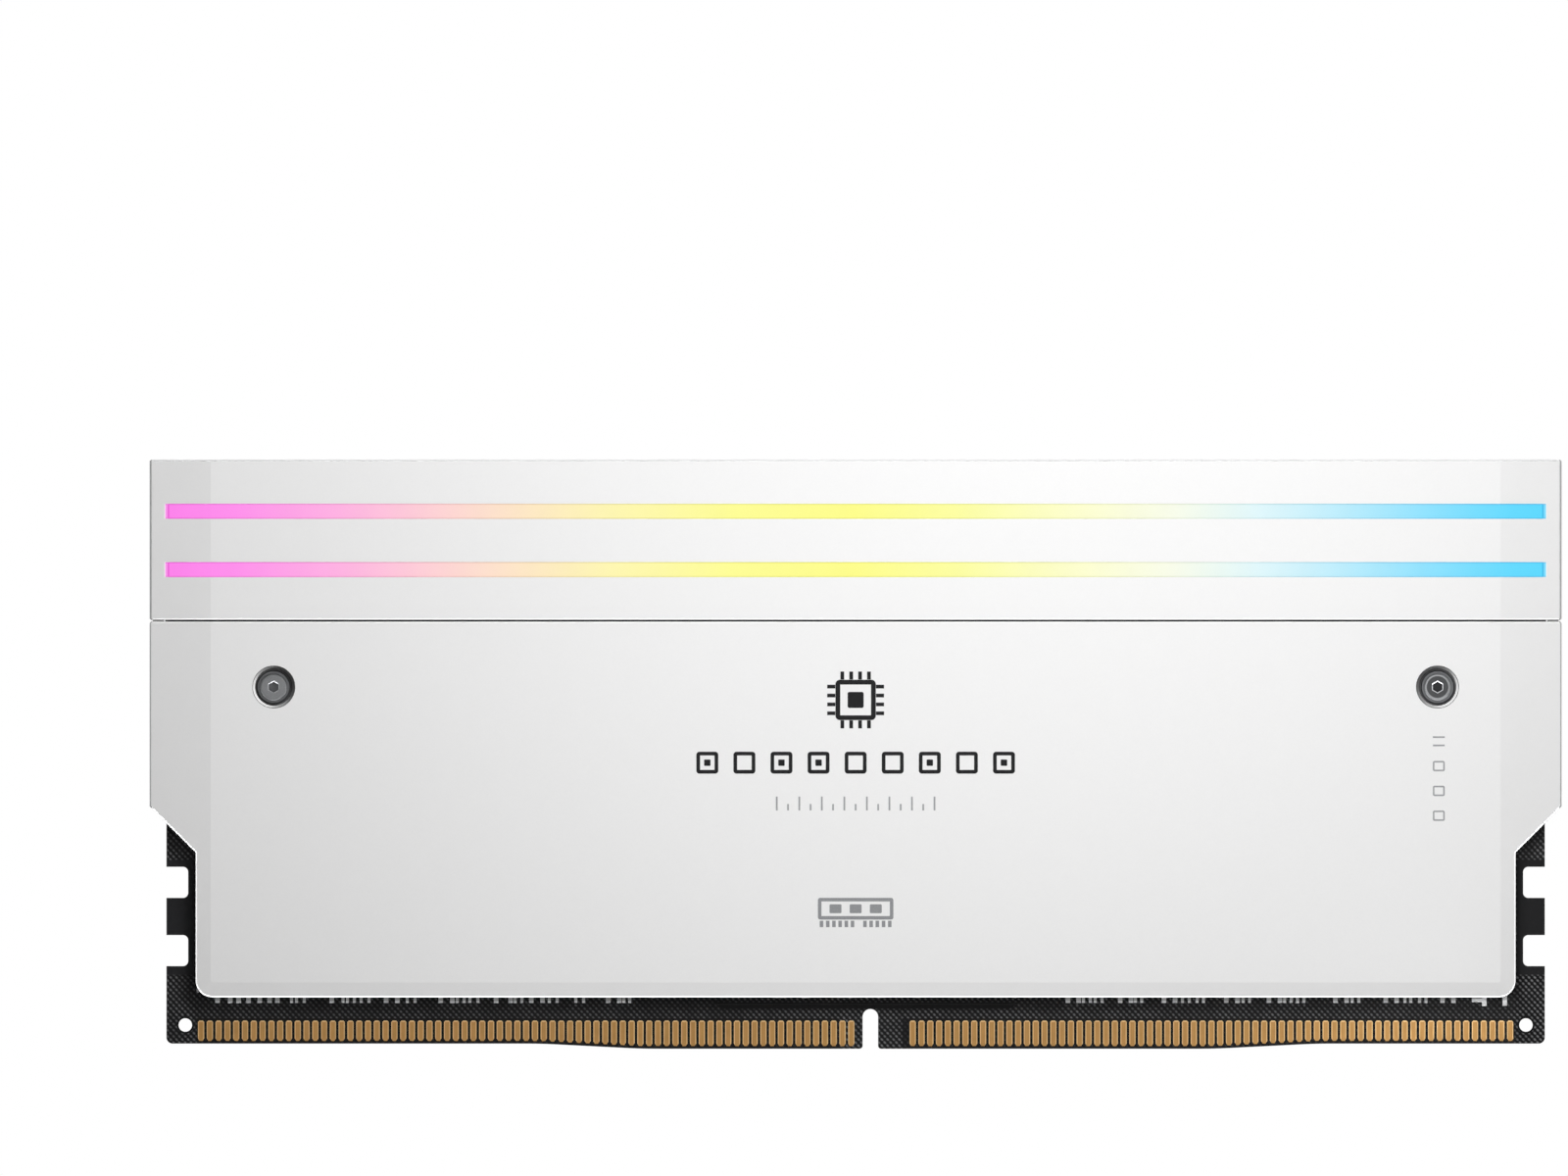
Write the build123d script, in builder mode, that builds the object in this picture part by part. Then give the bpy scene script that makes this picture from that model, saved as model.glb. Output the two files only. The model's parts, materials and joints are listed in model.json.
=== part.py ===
from build123d import *
import os

os.makedirs("parts", exist_ok=True)

# ----------------------------------------------------------------------------
# Desktop memory module with two heat spreaders and a removable light bar.
# Frame: +X along the contact edge, +Z up (away from the socket), the front of
# the module faces -Y. Origin: middle of the contact edge, on the board's
# mid-plane, at the lowest point of the board. Millimetres.
# Names: _W along X, _H along Z, _T along Y, _R radius, _HALF half a length
# centred on the origin, _BOT and _TOP heights above the origin.
# ----------------------------------------------------------------------------

# The normal of Plane.XZ is -Y, so its offsets and extrusions take these signs
FRONT, BACK = 1, -1
ENDS = (-1, 1)  # left end, right end
SAME = 1e-3  # lengths closer than this count as equal when picking edges

# board
PCB_W = 133.35
PCB_H = 31.25
PCB_T = 1.27
PCB_HALF_T = PCB_T / 2

# envelope of the spreaders and the light bar
BODY_W = 136.6
BODY_T = 8.0
BODY_HALF_W = BODY_W / 2
FACE_Y = BODY_T / 2  # |y| of the outer faces
SEAM_Z = 41.42  # middle of the gap between spreaders and light bar
SEAM_GAP = 0.13
SPREADER_TOP = SEAM_Z - SEAM_GAP / 2
BAR_BOT = SEAM_Z + SEAM_GAP / 2
SPREADER_IN_Y = 2.2  # |y| of the inner face
END_WALL_IN = 66.9  # |x| of the inside of the end walls

# lands on the end walls, where the bar seats on the spreaders
LAND_OUT = 68.0
LAND_Y = 0.9
LAND_H = 0.055
LAND_W = LAND_OUT - END_WALL_IN
LAND_X = (END_WALL_IN + LAND_OUT) / 2

# shallow facets at both ends of the faces and along their lower edge
FACET_X = 62.4
FACET_Z = 6.42
FACET_DROP = 0.8  # fall of the facet at the end of the body
FACET_SLOPE = FACET_DROP / (BODY_HALF_W - FACET_X)

# clamp screws
SCREW_X = 56.3
SCREW_Z = 35.0
CLEAR_R = 0.92  # clearance hole in spreader and washer

# tongue of the light board, which plugs into the socket on the main board
LED_BOARD_T = 0.8
TONGUE_HALF = 5.0
TONGUE_GAP = 0.3  # added to the tongue's width where it passes through a part
PIN_X = [-4.4 + 1.1 * i for i in range(9)]


def export(builder, name):
    builder.part.label = name
    export_step(builder.part, f"parts/{name}.step")


def near(a, b):
    return abs(a - b) < SAME


def board_plane(side, rise=0.0):
    """Plane facing -Y, at a distance above the board's front or back surface."""
    return Plane.XZ.offset(side * (PCB_HALF_T + rise))


def end_facets(face_y):
    """Facet planes at the right and left end of a face standing at face_y."""
    outward = 1 if face_y > 0 else -1
    return [
        Plane(origin=(end * FACET_X, face_y, 0), z_dir=(end * FACET_SLOPE, outward, 0))
        for end in (1, -1)
    ]


# ----------------------------------------------------------------------------
# pcb: laminate with key notch, latch notches, stepped contact edge, tooling holes
# ----------------------------------------------------------------------------
END_STEP = 0.5  # the ends of the contact edge stand this much higher
RAMP_LEFT = (-30.5, -20.7)  # x where each ramp starts and ends
RAMP_RIGHT = (34.7, 44.6)
RAMP_R = 55.0  # the edge runs smoothly in and out of each ramp
PCB_CORNER_R = 0.6
KEY_X = 1.425
KEY_W = 1.5
KEY_R = KEY_W / 2
KEY_H = 3.85
KEY_MOUTH_R = 0.3
LATCH_DEPTH = 2.1
LATCH_Z = ((8.0, 11.0), (14.6, 17.6))  # bottom and top of each latch notch
LATCH_R = 0.5
HOLE_X = 64.85
HOLE_Z = 2.3
HOLE_R = 0.65

pcb_half_w = PCB_W / 2
with BuildPart() as pcb:
    with BuildSketch(board_plane(BACK)) as board:
        with BuildLine():
            Polyline(
                (-pcb_half_w, PCB_H),
                (-pcb_half_w, END_STEP),
                (RAMP_LEFT[0], END_STEP),
                (RAMP_LEFT[1], 0),
                (RAMP_RIGHT[0], 0),
                (RAMP_RIGHT[1], END_STEP),
                (pcb_half_w, END_STEP),
                (pcb_half_w, PCB_H),
                close=True,
            )
        make_face()
        corners = board.vertices().filter_by(lambda v: near(abs(v.X), pcb_half_w))
        fillet(corners, PCB_CORNER_R)
        ramps = board.vertices().filter_by(
            lambda v: any(near(v.X, x) for x in RAMP_LEFT + RAMP_RIGHT)
        )
        fillet(ramps, RAMP_R)
        for end in ENDS:
            for bottom, top in LATCH_Z:
                with Locations((end * pcb_half_w, (bottom + top) / 2)):
                    RectangleRounded(LATCH_DEPTH * 2, top - bottom, LATCH_R, mode=Mode.SUBTRACT)
        with Locations((KEY_X, KEY_H - KEY_R)):
            Circle(KEY_R, mode=Mode.SUBTRACT)
        with Locations((KEY_X, (KEY_H - KEY_R) / 2)):
            Rectangle(KEY_W, KEY_H - KEY_R, mode=Mode.SUBTRACT)
        mouth = board.vertices().filter_by(
            lambda v: near(v.Y, 0) and near(abs(v.X - KEY_X), KEY_R)
        )
        fillet(mouth, KEY_MOUTH_R)
        with Locations((-HOLE_X, HOLE_Z), (HOLE_X, HOLE_Z)):
            Circle(HOLE_R, mode=Mode.SUBTRACT)
    extrude(amount=PCB_T)
export(pcb, "pcb")


# ----------------------------------------------------------------------------
# contacts: gold pads with chamfered shoulders and tapered tips
# ----------------------------------------------------------------------------
PITCH = 0.85
N_LEFT = 75
N_RIGHT = 69
GAP_PITCHES = 7  # from the last left pad to the first right pad
PAD_W = 0.60
PAD_T = 0.05
PAD_TOP = 2.74
PAD_LIFT = 0.27  # from the board edge to the pad
PAD_SHOULDER = 0.14
PAD_TIP_W = 0.15  # taper of the tip on each side
PAD_TIP_H = 0.24

first_right = N_LEFT - 1 + GAP_PITCHES
pad_steps = [*range(N_LEFT), *range(first_right, first_right + N_RIGHT)]
first_pad_x = -pad_steps[-1] * PITCH / 2


def edge_z(x):
    """Height of the board's lower edge at x."""
    if x <= RAMP_LEFT[0] or x >= RAMP_RIGHT[1]:
        return END_STEP
    if x < RAMP_LEFT[1]:
        return END_STEP * (RAMP_LEFT[1] - x) / (RAMP_LEFT[1] - RAMP_LEFT[0])
    if x > RAMP_RIGHT[0]:
        return END_STEP * (x - RAMP_RIGHT[0]) / (RAMP_RIGHT[1] - RAMP_RIGHT[0])
    return 0.0


def pad_outline(height):
    """Pad outline, clockwise from the left shoulder, standing on z = 0."""
    half = PAD_W / 2
    tip = half - PAD_TIP_W
    shoulder_x = half - PAD_SHOULDER
    shoulder_z = height - PAD_SHOULDER
    return [
        (-half, shoulder_z), (-half, PAD_TIP_H), (-tip, 0), (tip, 0),
        (half, PAD_TIP_H), (half, shoulder_z), (shoulder_x, height), (-shoulder_x, height),
    ]  # fmt: skip


pad_rows = {}  # x of the pads that start at the same height, keyed by that height
for step in pad_steps:
    x = first_pad_x + step * PITCH
    pad_rows.setdefault(round(edge_z(x) + PAD_LIFT, 4), []).append(x)

for name, side in (("contacts_front", FRONT), ("contacts_back", BACK)):
    with BuildPart() as contacts:
        with BuildSketch(board_plane(side)):
            for bottom, xs in pad_rows.items():
                with Locations(*[(x, bottom) for x in xs]):
                    Polygon(*pad_outline(PAD_TOP - bottom), align=None)
        extrude(amount=side * PAD_T)
    export(contacts, name)


# ----------------------------------------------------------------------------
# dram packages: four each side of the power stage, on the front
# ----------------------------------------------------------------------------
DRAM_W, DRAM_H, DRAM_T = 10.0, 11.0, 1.0
DRAM_PER_SIDE = 4
DRAM_INNER_X = 17.0
DRAM_PITCH = 13.0
DRAM_OUTER_X = DRAM_INNER_X + (DRAM_PER_SIDE - 1) * DRAM_PITCH
DRAM_Z = 17.0
DRAM_BEVEL = 0.08
DIMPLE_INSET = 1.1
DIMPLE_R = 0.4
DIMPLE_DEPTH = 0.06

dram_x = sorted(end * (DRAM_INNER_X + i * DRAM_PITCH) for end in ENDS for i in range(DRAM_PER_SIDE))
for number, x in enumerate(dram_x, 1):
    with BuildPart() as dram_chip:
        with BuildSketch(board_plane(FRONT)):
            with Locations((x, DRAM_Z)):
                Rectangle(DRAM_W, DRAM_H)
        extrude(amount=DRAM_T)
        chamfer(dram_chip.faces().sort_by(Axis.Y)[0].edges(), DRAM_BEVEL)
        # pin-one dimple
        with BuildSketch(board_plane(FRONT, DRAM_T)):
            with Locations((x - DRAM_W / 2 + DIMPLE_INSET, DRAM_Z + DRAM_H / 2 - DIMPLE_INSET)):
                Circle(DIMPLE_R)
        extrude(amount=-DIMPLE_DEPTH, mode=Mode.SUBTRACT)
    export(dram_chip, f"dram_chip_{number}")


# ----------------------------------------------------------------------------
# other components on the front of the board
# ----------------------------------------------------------------------------
# name, centre x, centre z, width, height, thickness, bevel of the outer face
CHIPS = [
    ("pmic", 0, 22.6, 4.0, 4.0, 0.8, 0.06),
    ("spd_hub", 6.9, 20.6, 3.0, 2.0, 0.6, 0.05),
    ("light_controller", 0, 10.2, 4.0, 4.0, 0.8, 0.06),
]
for name, x, z, width, height, thickness, bevel in CHIPS:
    with BuildPart() as chip:
        with BuildSketch(board_plane(FRONT)):
            with Locations((x, z)):
                Rectangle(width, height)
        extrude(amount=thickness)
        chamfer(chip.faces().sort_by(Axis.Y)[0].edges(), bevel)
    export(chip, name)

INDUCTOR_XZ = [(-6.9, 25.2), (6.9, 25.2), (-6.9, 20.6)]
INDUCTOR_W, INDUCTOR_H, INDUCTOR_T = 3.2, 2.6, 1.2
INDUCTOR_R = 0.35
INDUCTOR_BEVEL = 0.12
with BuildPart() as power_inductors:
    with BuildSketch(board_plane(FRONT)):
        with Locations(*INDUCTOR_XZ):
            RectangleRounded(INDUCTOR_W, INDUCTOR_H, INDUCTOR_R)
    extrude(amount=INDUCTOR_T)
    outer_faces = power_inductors.faces().filter_by(Axis.Y).sort_by(Axis.Y)[0:len(INDUCTOR_XZ)]
    chamfer(outer_faces.edges(), INDUCTOR_BEVEL)
export(power_inductors, "power_inductors")

POWER_CAP_XZ = [(-6.0 + 2.0 * i, 15.6) for i in range(7)]
POWER_CAP_W, POWER_CAP_H, POWER_CAP_T = 0.85, 1.6, 0.85
POWER_CAP_R = 0.08
with BuildPart() as power_capacitors:
    with BuildSketch(board_plane(FRONT)):
        with Locations(*POWER_CAP_XZ):
            RectangleRounded(POWER_CAP_W, POWER_CAP_H, POWER_CAP_R)
    extrude(amount=POWER_CAP_T)
export(power_capacitors, "power_capacitors")

# small capacitors: columns midway between the dram packages, a row above them
SMALL_CAP_W, SMALL_CAP_H, SMALL_CAP_T = 0.5, 1.0, 0.5
CAP_COLUMN_X = [DRAM_INNER_X + (i + 0.5) * DRAM_PITCH for i in range(DRAM_PER_SIDE - 1)]
CAP_COLUMN_Z = [12.6 + 1.76 * i for i in range(6)]
CAP_ROW_X = [14.5 + 3.25 * i for i in range(13)]
CAP_ROW_Z = 24.6
decap_xz = [(end * x, z) for end in ENDS for x in CAP_COLUMN_X for z in CAP_COLUMN_Z]
decap_xz += [(end * x, CAP_ROW_Z) for end in ENDS for x in CAP_ROW_X]
with BuildPart() as decoupling_capacitors:
    with BuildSketch(board_plane(FRONT)):
        with Locations(*decap_xz):
            Rectangle(SMALL_CAP_W, SMALL_CAP_H)
    extrude(amount=SMALL_CAP_T)
export(decoupling_capacitors, "decoupling_capacitors")


# ----------------------------------------------------------------------------
# lower row of chip resistors and capacitors: ceramic bodies with end terminals;
# their lower terminals stand just below the heat spreaders
# ----------------------------------------------------------------------------
# left and right x of each part
ROW = [
    (-61.92, -61.54), (-60.69, -60.31), (-59.93, -59.45), (-58.98, -58.5), (-57.84, -57.46),
    (-56.89, -56.51), (-56.13, -55.76), (-54.71, -54.43), (-54.24, -53.95), (-53.48, -53.2),
    (-50.87, -50.49), (-49.75, -49.43), (-49.31, -49.02), (-48.64, -48.36), (-47.98, -47.7),
    (-47.22, -46.94), (-45.61, -45.23), (-44.52, -44.14), (-43.52, -43.24), (-42.77, -42.48),
    (-40.33, -39.95), (-39.21, -38.83), (-38.69, -38.4), (-38.03, -37.74), (-37.46, -37.17),
    (-36.69, -36.4), (-34.97, -34.59), (-33.57, -33.19), (-33.09, -32.81), (-32.43, -32.15),
    (-31.57, -31.19), (-30.48, -30.1), (-29.78, -29.49), (-29.02, -28.73), (-27.21, -26.93),
    (-26.46, -26.17), (-24.13, -23.75), (-23.04, -22.67), (-22.57, -22.29), (-22.0, -21.72),
    (20.36, 20.74), (21.38, 21.76), (21.9, 22.18), (22.56, 22.85), (23.03, 23.32), (23.7, 23.98),
    (25.41, 25.79), (26.45, 26.83), (26.92, 27.21), (27.53, 27.82), (29.64, 30.02), (30.71, 31.09),
    (31.47, 31.76), (32.14, 32.42), (32.9, 33.18), (33.5, 33.79), (35.67, 36.05), (36.75, 37.13),
    (37.35, 37.64), (37.97, 38.25), (39.79, 40.17), (40.86, 41.24), (41.36, 41.65), (42.0, 42.28),
    (42.6, 42.88), (43.23, 43.51), (46.24, 46.62), (47.31, 47.69), (47.9, 48.18), (48.54, 48.82),
    (51.1, 51.48), (52.14, 52.52), (53.0, 53.28), (53.56, 53.85), (54.42, 54.7), (55.03, 55.32),
    (56.58, 56.96), (57.64, 58.02), (60.6, 61.04), (62.58, 63.02),
]  # fmt: skip
ROW_BOT = 4.45
WIDE_FROM = 0.33  # parts measuring more than this are built as wide ones
LONG_FROM_X = 60  # wide parts beyond this, by the right corner, are longer
LONG_DROP = 0.3  # and stand lower
BODY_INSET = 0.04  # bodies are this much narrower than their terminals
ROW_BODY_T = 0.30
ROW_TERMINAL_T = 0.34

row_x = [((left + right) / 2, right - left > WIDE_FROM) for left, right in ROW]
# width, length, terminal length with its solder, lower end, centres
ROW_GROUPS = [
    (0.44, 1.60, 0.58, ROW_BOT, [x for x, wide in row_x if wide and x < LONG_FROM_X]),
    (0.29, 1.50, 0.56, ROW_BOT, [x for x, wide in row_x if not wide]),
    (0.44, 2.60, 1.05, ROW_BOT - LONG_DROP, [x for x, wide in row_x if wide and x > LONG_FROM_X]),
]

# part lying along the board's edge by the left corner, on the front only
CORNER_X, CORNER_Z = -63.3, 5.7
CORNER_LENGTH = 0.90
CORNER_WIDTH = 0.42
CORNER_TERMINAL = 0.36
# bare metal link near the right corner, on the front only
LINK_X, LINK_Z = 60.14, 4.72
LINK_W, LINK_H = 1.06, 0.36

for side_name, side in (("front", FRONT), ("back", BACK)):
    with BuildPart() as row_bodies:
        with BuildSketch(board_plane(side)):
            for width, length, terminal, bottom, xs in ROW_GROUPS:
                with Locations(*[(x, bottom + length / 2) for x in xs]):
                    Rectangle(width - BODY_INSET, length - 2 * terminal)
            if side == FRONT:
                with Locations((CORNER_X, CORNER_Z)):
                    Rectangle(CORNER_LENGTH - 2 * CORNER_TERMINAL, CORNER_WIDTH - BODY_INSET)
        extrude(amount=side * ROW_BODY_T)
    export(row_bodies, f"row_bodies_{side_name}")

    with BuildPart() as row_terminals:
        with BuildSketch(board_plane(side)):
            for width, length, terminal, bottom, xs in ROW_GROUPS:
                terminal_z = (bottom + terminal / 2, bottom + length - terminal / 2)
                with Locations(*[(x, z) for x in xs for z in terminal_z]):
                    Rectangle(width, terminal)
            if side == FRONT:
                reach = (CORNER_LENGTH - CORNER_TERMINAL) / 2
                with Locations((CORNER_X - reach, CORNER_Z), (CORNER_X + reach, CORNER_Z)):
                    Rectangle(CORNER_TERMINAL, CORNER_WIDTH)
                with Locations((LINK_X, LINK_Z)):
                    Rectangle(LINK_W, LINK_H)
        extrude(amount=side * ROW_TERMINAL_T)
    export(row_terminals, f"row_terminals_{side_name}")


# ----------------------------------------------------------------------------
# socket for the light bar, straddling the board's upper edge
# ----------------------------------------------------------------------------
SOCKET_W, SOCKET_T = 14.0, 3.9
SOCKET_BOT, SOCKET_TOP = 29.4, 35.6
SOCKET_BEVEL = 0.3
SOCKET_SLOT_DEPTH = 3.4
SOCKET_LEAD_IN = 0.25
with BuildPart() as light_socket:
    with BuildSketch(Plane.XY.offset(SOCKET_BOT)):
        Rectangle(SOCKET_W, SOCKET_T)
    extrude(amount=SOCKET_TOP - SOCKET_BOT)
    chamfer(light_socket.edges().filter_by(Axis.Z), SOCKET_BEVEL)
    # room for the board, cut past both ends of the socket
    with BuildSketch(Plane.XY.offset(SOCKET_BOT)):
        Rectangle(SOCKET_W + 2.0, PCB_T + 0.02)
    extrude(amount=PCB_H - SOCKET_BOT + 0.01, mode=Mode.SUBTRACT)
    with BuildSketch(Plane.XY.offset(SOCKET_TOP)):
        Rectangle(2 * TONGUE_HALF + TONGUE_GAP, LED_BOARD_T + 0.2)
    extrude(amount=-SOCKET_SLOT_DEPTH, mode=Mode.SUBTRACT)
    # lead-in around the slot
    lip = light_socket.faces().sort_by(Axis.Z)[-1].inner_wires()[0].edges()
    chamfer(lip, SOCKET_LEAD_IN)
export(light_socket, "light_socket")

PIN_W, PIN_H, PIN_T = 0.5, 1.2, 0.18
PIN_Z = 28.8
with BuildPart() as light_socket_pins:
    for side in (FRONT, BACK):
        with BuildSketch(board_plane(side)):
            with Locations(*[(x, PIN_Z) for x in PIN_X]):
                Rectangle(PIN_W, PIN_H)
        extrude(amount=side * PIN_T)
export(light_socket_pins, "light_socket_pins")


# ----------------------------------------------------------------------------
# thermal pads, filling the space up to the spreaders' inner faces
# ----------------------------------------------------------------------------
THERMAL_R = 0.4
THERMAL_H = DRAM_H + 0.6
THERMAL_EXTRA_W = 0.4  # pad width beyond the outermost packages, both sides together
dram_mid_x = (DRAM_INNER_X + DRAM_OUTER_X) / 2
dram_group_w = DRAM_OUTER_X - DRAM_INNER_X + DRAM_W + THERMAL_EXTRA_W
dram_row_w = 2 * DRAM_OUTER_X + DRAM_W + THERMAL_EXTRA_W
# name, side, centre x, centre z, width, height, rise above the board
THERMAL_PADS = [
    ("thermal_pad_left", FRONT, -dram_mid_x, DRAM_Z, dram_group_w, THERMAL_H, DRAM_T),
    ("thermal_pad_right", FRONT, dram_mid_x, DRAM_Z, dram_group_w, THERMAL_H, DRAM_T),
    ("thermal_pad_power", FRONT, 0, 22.9, 18.4, 8.2, INDUCTOR_T),
    ("thermal_pad_back", BACK, 0, DRAM_Z, dram_row_w, THERMAL_H, 0.0),
]
for name, side, x, z, width, height, rise in THERMAL_PADS:
    with BuildPart() as thermal_pad:
        with BuildSketch(board_plane(side, rise)):
            with Locations((x, z)):
                RectangleRounded(width, height, THERMAL_R)
        extrude(amount=side * (SPREADER_IN_Y - PCB_HALF_T - rise))
    export(thermal_pad, name)


# ----------------------------------------------------------------------------
# heat spreaders: front, and its mirror image with a label recess
# ----------------------------------------------------------------------------
SPREADER_BOT = 4.97
SPREADER_LOW_HALF = 63.85  # below the shoulders
SHOULDER_TOP = 23.45
SHOULDER_BOT = 19.0
LOW_CORNER_R = 1.65
TOP_CORNER_R = 0.25
PARTING = 0.05  # from the mid-plane to each spreader
RIM_BEVEL = 0.13
SEAT_R = 1.8  # screw seat
SEAT_FLOOR = 2.85  # |y| of its floor
MOUTH_R = 2.08  # flared mouth of the seat, at the face
MOUTH_DEPTH = 0.72
STANDOFF_R = 1.6
STANDOFF_END = 2.45


def on_rim(edge):
    """Whether an edge of the front spreader lies on the rim of its outer face."""
    box = edge.bounding_box()
    off_face = box.min.Y < -FACE_Y - SAME or box.max.Y > -SPREADER_IN_Y - 0.6
    if off_face or box.size.Y > 0.7:
        return False
    center = edge.center()
    at_side = abs(center.X) > SPREADER_LOW_HALF - LOW_CORNER_R - 0.1 and box.size.X < 5.0
    at_bottom_or_top = center.Z < SPREADER_BOT + 0.6 or center.Z > SPREADER_TOP - 0.3
    # the creases between the flat face and its facets stay sharp
    crease = near(center.Z, FACET_Z) or (near(box.size.X, 0) and near(abs(center.X), FACET_X))
    return (at_side or at_bottom_or_top) and not crease


with BuildPart() as heat_spreader_front:
    with BuildSketch(Plane.XZ.offset(PARTING)) as outline:
        with BuildLine():
            Polyline(
                (-BODY_HALF_W, SPREADER_TOP),
                (-BODY_HALF_W, SHOULDER_TOP),
                (-SPREADER_LOW_HALF, SHOULDER_BOT),
                (-SPREADER_LOW_HALF, SPREADER_BOT),
                (SPREADER_LOW_HALF, SPREADER_BOT),
                (SPREADER_LOW_HALF, SHOULDER_BOT),
                (BODY_HALF_W, SHOULDER_TOP),
                (BODY_HALF_W, SPREADER_TOP),
                close=True,
            )
        make_face()
        fillet(outline.vertices().group_by(Axis.Y)[0], LOW_CORNER_R)
        fillet(outline.vertices().group_by(Axis.Y)[-1], TOP_CORNER_R)
    extrude(amount=FACE_Y - PARTING)
    # hollow behind the plate, cut past its bottom and top, leaving the two end walls
    with BuildSketch(Plane.XZ):
        with Locations((0, 25)):
            Rectangle(2 * END_WALL_IN, 60)
    extrude(amount=SPREADER_IN_Y, mode=Mode.SUBTRACT)
    # end facets and lower facet
    low_facet = Plane(origin=(0, -FACE_Y, FACET_Z), z_dir=(0, -1, -FACET_SLOPE))
    for plane in (*end_facets(-FACE_Y), low_facet):
        split(bisect_by=plane, keep=Keep.BOTTOM)
    # softened rim of the outer face
    rim = heat_spreader_front.edges().filter_by(on_rim)
    chamfer(rim, RIM_BEVEL)
    # lands for the light bar
    with BuildSketch(Plane.XZ.offset(PARTING)):
        with Locations(*[(end * LAND_X, SPREADER_TOP) for end in ENDS]):
            Rectangle(LAND_W, 2 * LAND_H)
    extrude(amount=LAND_Y - PARTING)
    # screw seats, and shallow pockets for the standoffs
    for end in ENDS:
        with Locations(Plane(origin=(end * SCREW_X, -FACE_Y, SCREW_Z), z_dir=(0, -1, 0))):
            CounterBoreHole(CLEAR_R, SEAT_R, FACE_Y - SEAT_FLOOR)
            Cone(
                SEAT_R, MOUTH_R, MOUTH_DEPTH,
                align=(Align.CENTER, Align.CENTER, Align.MAX), mode=Mode.SUBTRACT,
            )  # fmt: skip
        with Locations(Plane(origin=(end * SCREW_X, -SPREADER_IN_Y, SCREW_Z), z_dir=(0, 1, 0))):
            Hole(STANDOFF_R + 0.05, depth=STANDOFF_END - SPREADER_IN_Y)
export(heat_spreader_front, "heat_spreader_front")

LABEL_Z = 22.0
RECESS_W, RECESS_H, RECESS_DEPTH = 52.0, 20.0, 0.10
RECESS_R = 0.8
LABEL_GAP = 0.3  # recess size less label size
LABEL_R = 0.7
LABEL_T = 0.08
with BuildPart() as heat_spreader_back:
    add(heat_spreader_front.part)
    mirror(about=Plane.XZ, mode=Mode.REPLACE)
    with BuildSketch(Plane.XZ.offset(-FACE_Y)):
        with Locations((0, LABEL_Z)):
            RectangleRounded(RECESS_W, RECESS_H, RECESS_R)
    extrude(amount=RECESS_DEPTH, mode=Mode.SUBTRACT)
export(heat_spreader_back, "heat_spreader_back")

with BuildPart() as label_back:
    with BuildSketch(Plane.XZ.offset(-(FACE_Y - RECESS_DEPTH))):
        with Locations((0, LABEL_Z)):
            RectangleRounded(RECESS_W - LABEL_GAP, RECESS_H - LABEL_GAP, LABEL_R)
    extrude(amount=-LABEL_T)
export(label_back, "label_back")


# ----------------------------------------------------------------------------
# threaded standoffs between the spreaders, washers and socket screws
# ----------------------------------------------------------------------------
STANDOFF_BORE_R = 0.86
STANDOFF_BEVEL = 0.12
WASHER_R = 1.64
WASHER_T = 0.40
WASHER_BEVEL = 0.10
HEAD_R = 1.3
HEAD_SEAT = SEAT_FLOOR + WASHER_T  # |y| of the underside of the head
HEAD_TOP = 3.92  # |y| of the top of the head
HEAD_BEVEL = 0.1
HEX_FLATS = 0.94  # across flats
HEX_DEPTH = 0.55
SHANK_R = 0.8
SHANK_END = 0.3  # |y| of the tip
SHANK_BEVEL = 0.18

SCREW_SPOTS = (("left", -SCREW_X), ("right", SCREW_X))
for hand, x in SCREW_SPOTS:
    with BuildPart() as standoff:
        with BuildSketch(Plane(origin=(x, STANDOFF_END, SCREW_Z), z_dir=(0, -1, 0))):
            Circle(STANDOFF_R)
            Circle(STANDOFF_BORE_R, mode=Mode.SUBTRACT)
        extrude(amount=2 * STANDOFF_END)
        bores = standoff.edges().filter_by(GeomType.CIRCLE).filter_by(
            lambda edge: near(edge.radius, STANDOFF_BORE_R)
        )
        chamfer(bores, STANDOFF_BEVEL)
    export(standoff, f"standoff_{hand}")

# side, y direction outward, index of the outermost and innermost face along Y
SCREW_SIDES = (("front", -1, 0, -1), ("back", 1, -1, 0))
for side_name, outward, outermost, innermost in SCREW_SIDES:
    axis = (0, outward, 0)
    for hand, x in SCREW_SPOTS:
        with BuildPart() as washer:
            with BuildSketch(Plane(origin=(x, outward * SEAT_FLOOR, SCREW_Z), z_dir=axis)):
                Circle(WASHER_R)
                Circle(CLEAR_R, mode=Mode.SUBTRACT)
            extrude(amount=WASHER_T)
            outer_face = washer.faces().sort_by(Axis.Y)[outermost]
            chamfer(outer_face.outer_wire().edges(), WASHER_BEVEL)
        export(washer, f"washer_{side_name}_{hand}")

        with BuildPart() as screw:
            head_plane = Plane(origin=(x, outward * HEAD_SEAT, SCREW_Z), z_dir=axis)
            with BuildSketch(head_plane):
                Circle(HEAD_R)
            extrude(amount=HEAD_TOP - HEAD_SEAT)
            chamfer(screw.faces().sort_by(Axis.Y)[outermost].edges(), HEAD_BEVEL)
            with BuildSketch(head_plane):
                Circle(SHANK_R)
            extrude(amount=-(HEAD_SEAT - SHANK_END))
            chamfer(screw.faces().sort_by(Axis.Y)[innermost].edges(), SHANK_BEVEL)
            top_plane = Plane(
                origin=(x, outward * HEAD_TOP, SCREW_Z), x_dir=(0, 0, 1), z_dir=axis
            )
            with BuildSketch(top_plane):
                RegularPolygon(HEX_FLATS / 2, 6, major_radius=False)
            extrude(amount=-HEX_DEPTH, mode=Mode.SUBTRACT)
        export(screw, f"screw_{side_name}_{hand}")


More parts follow.
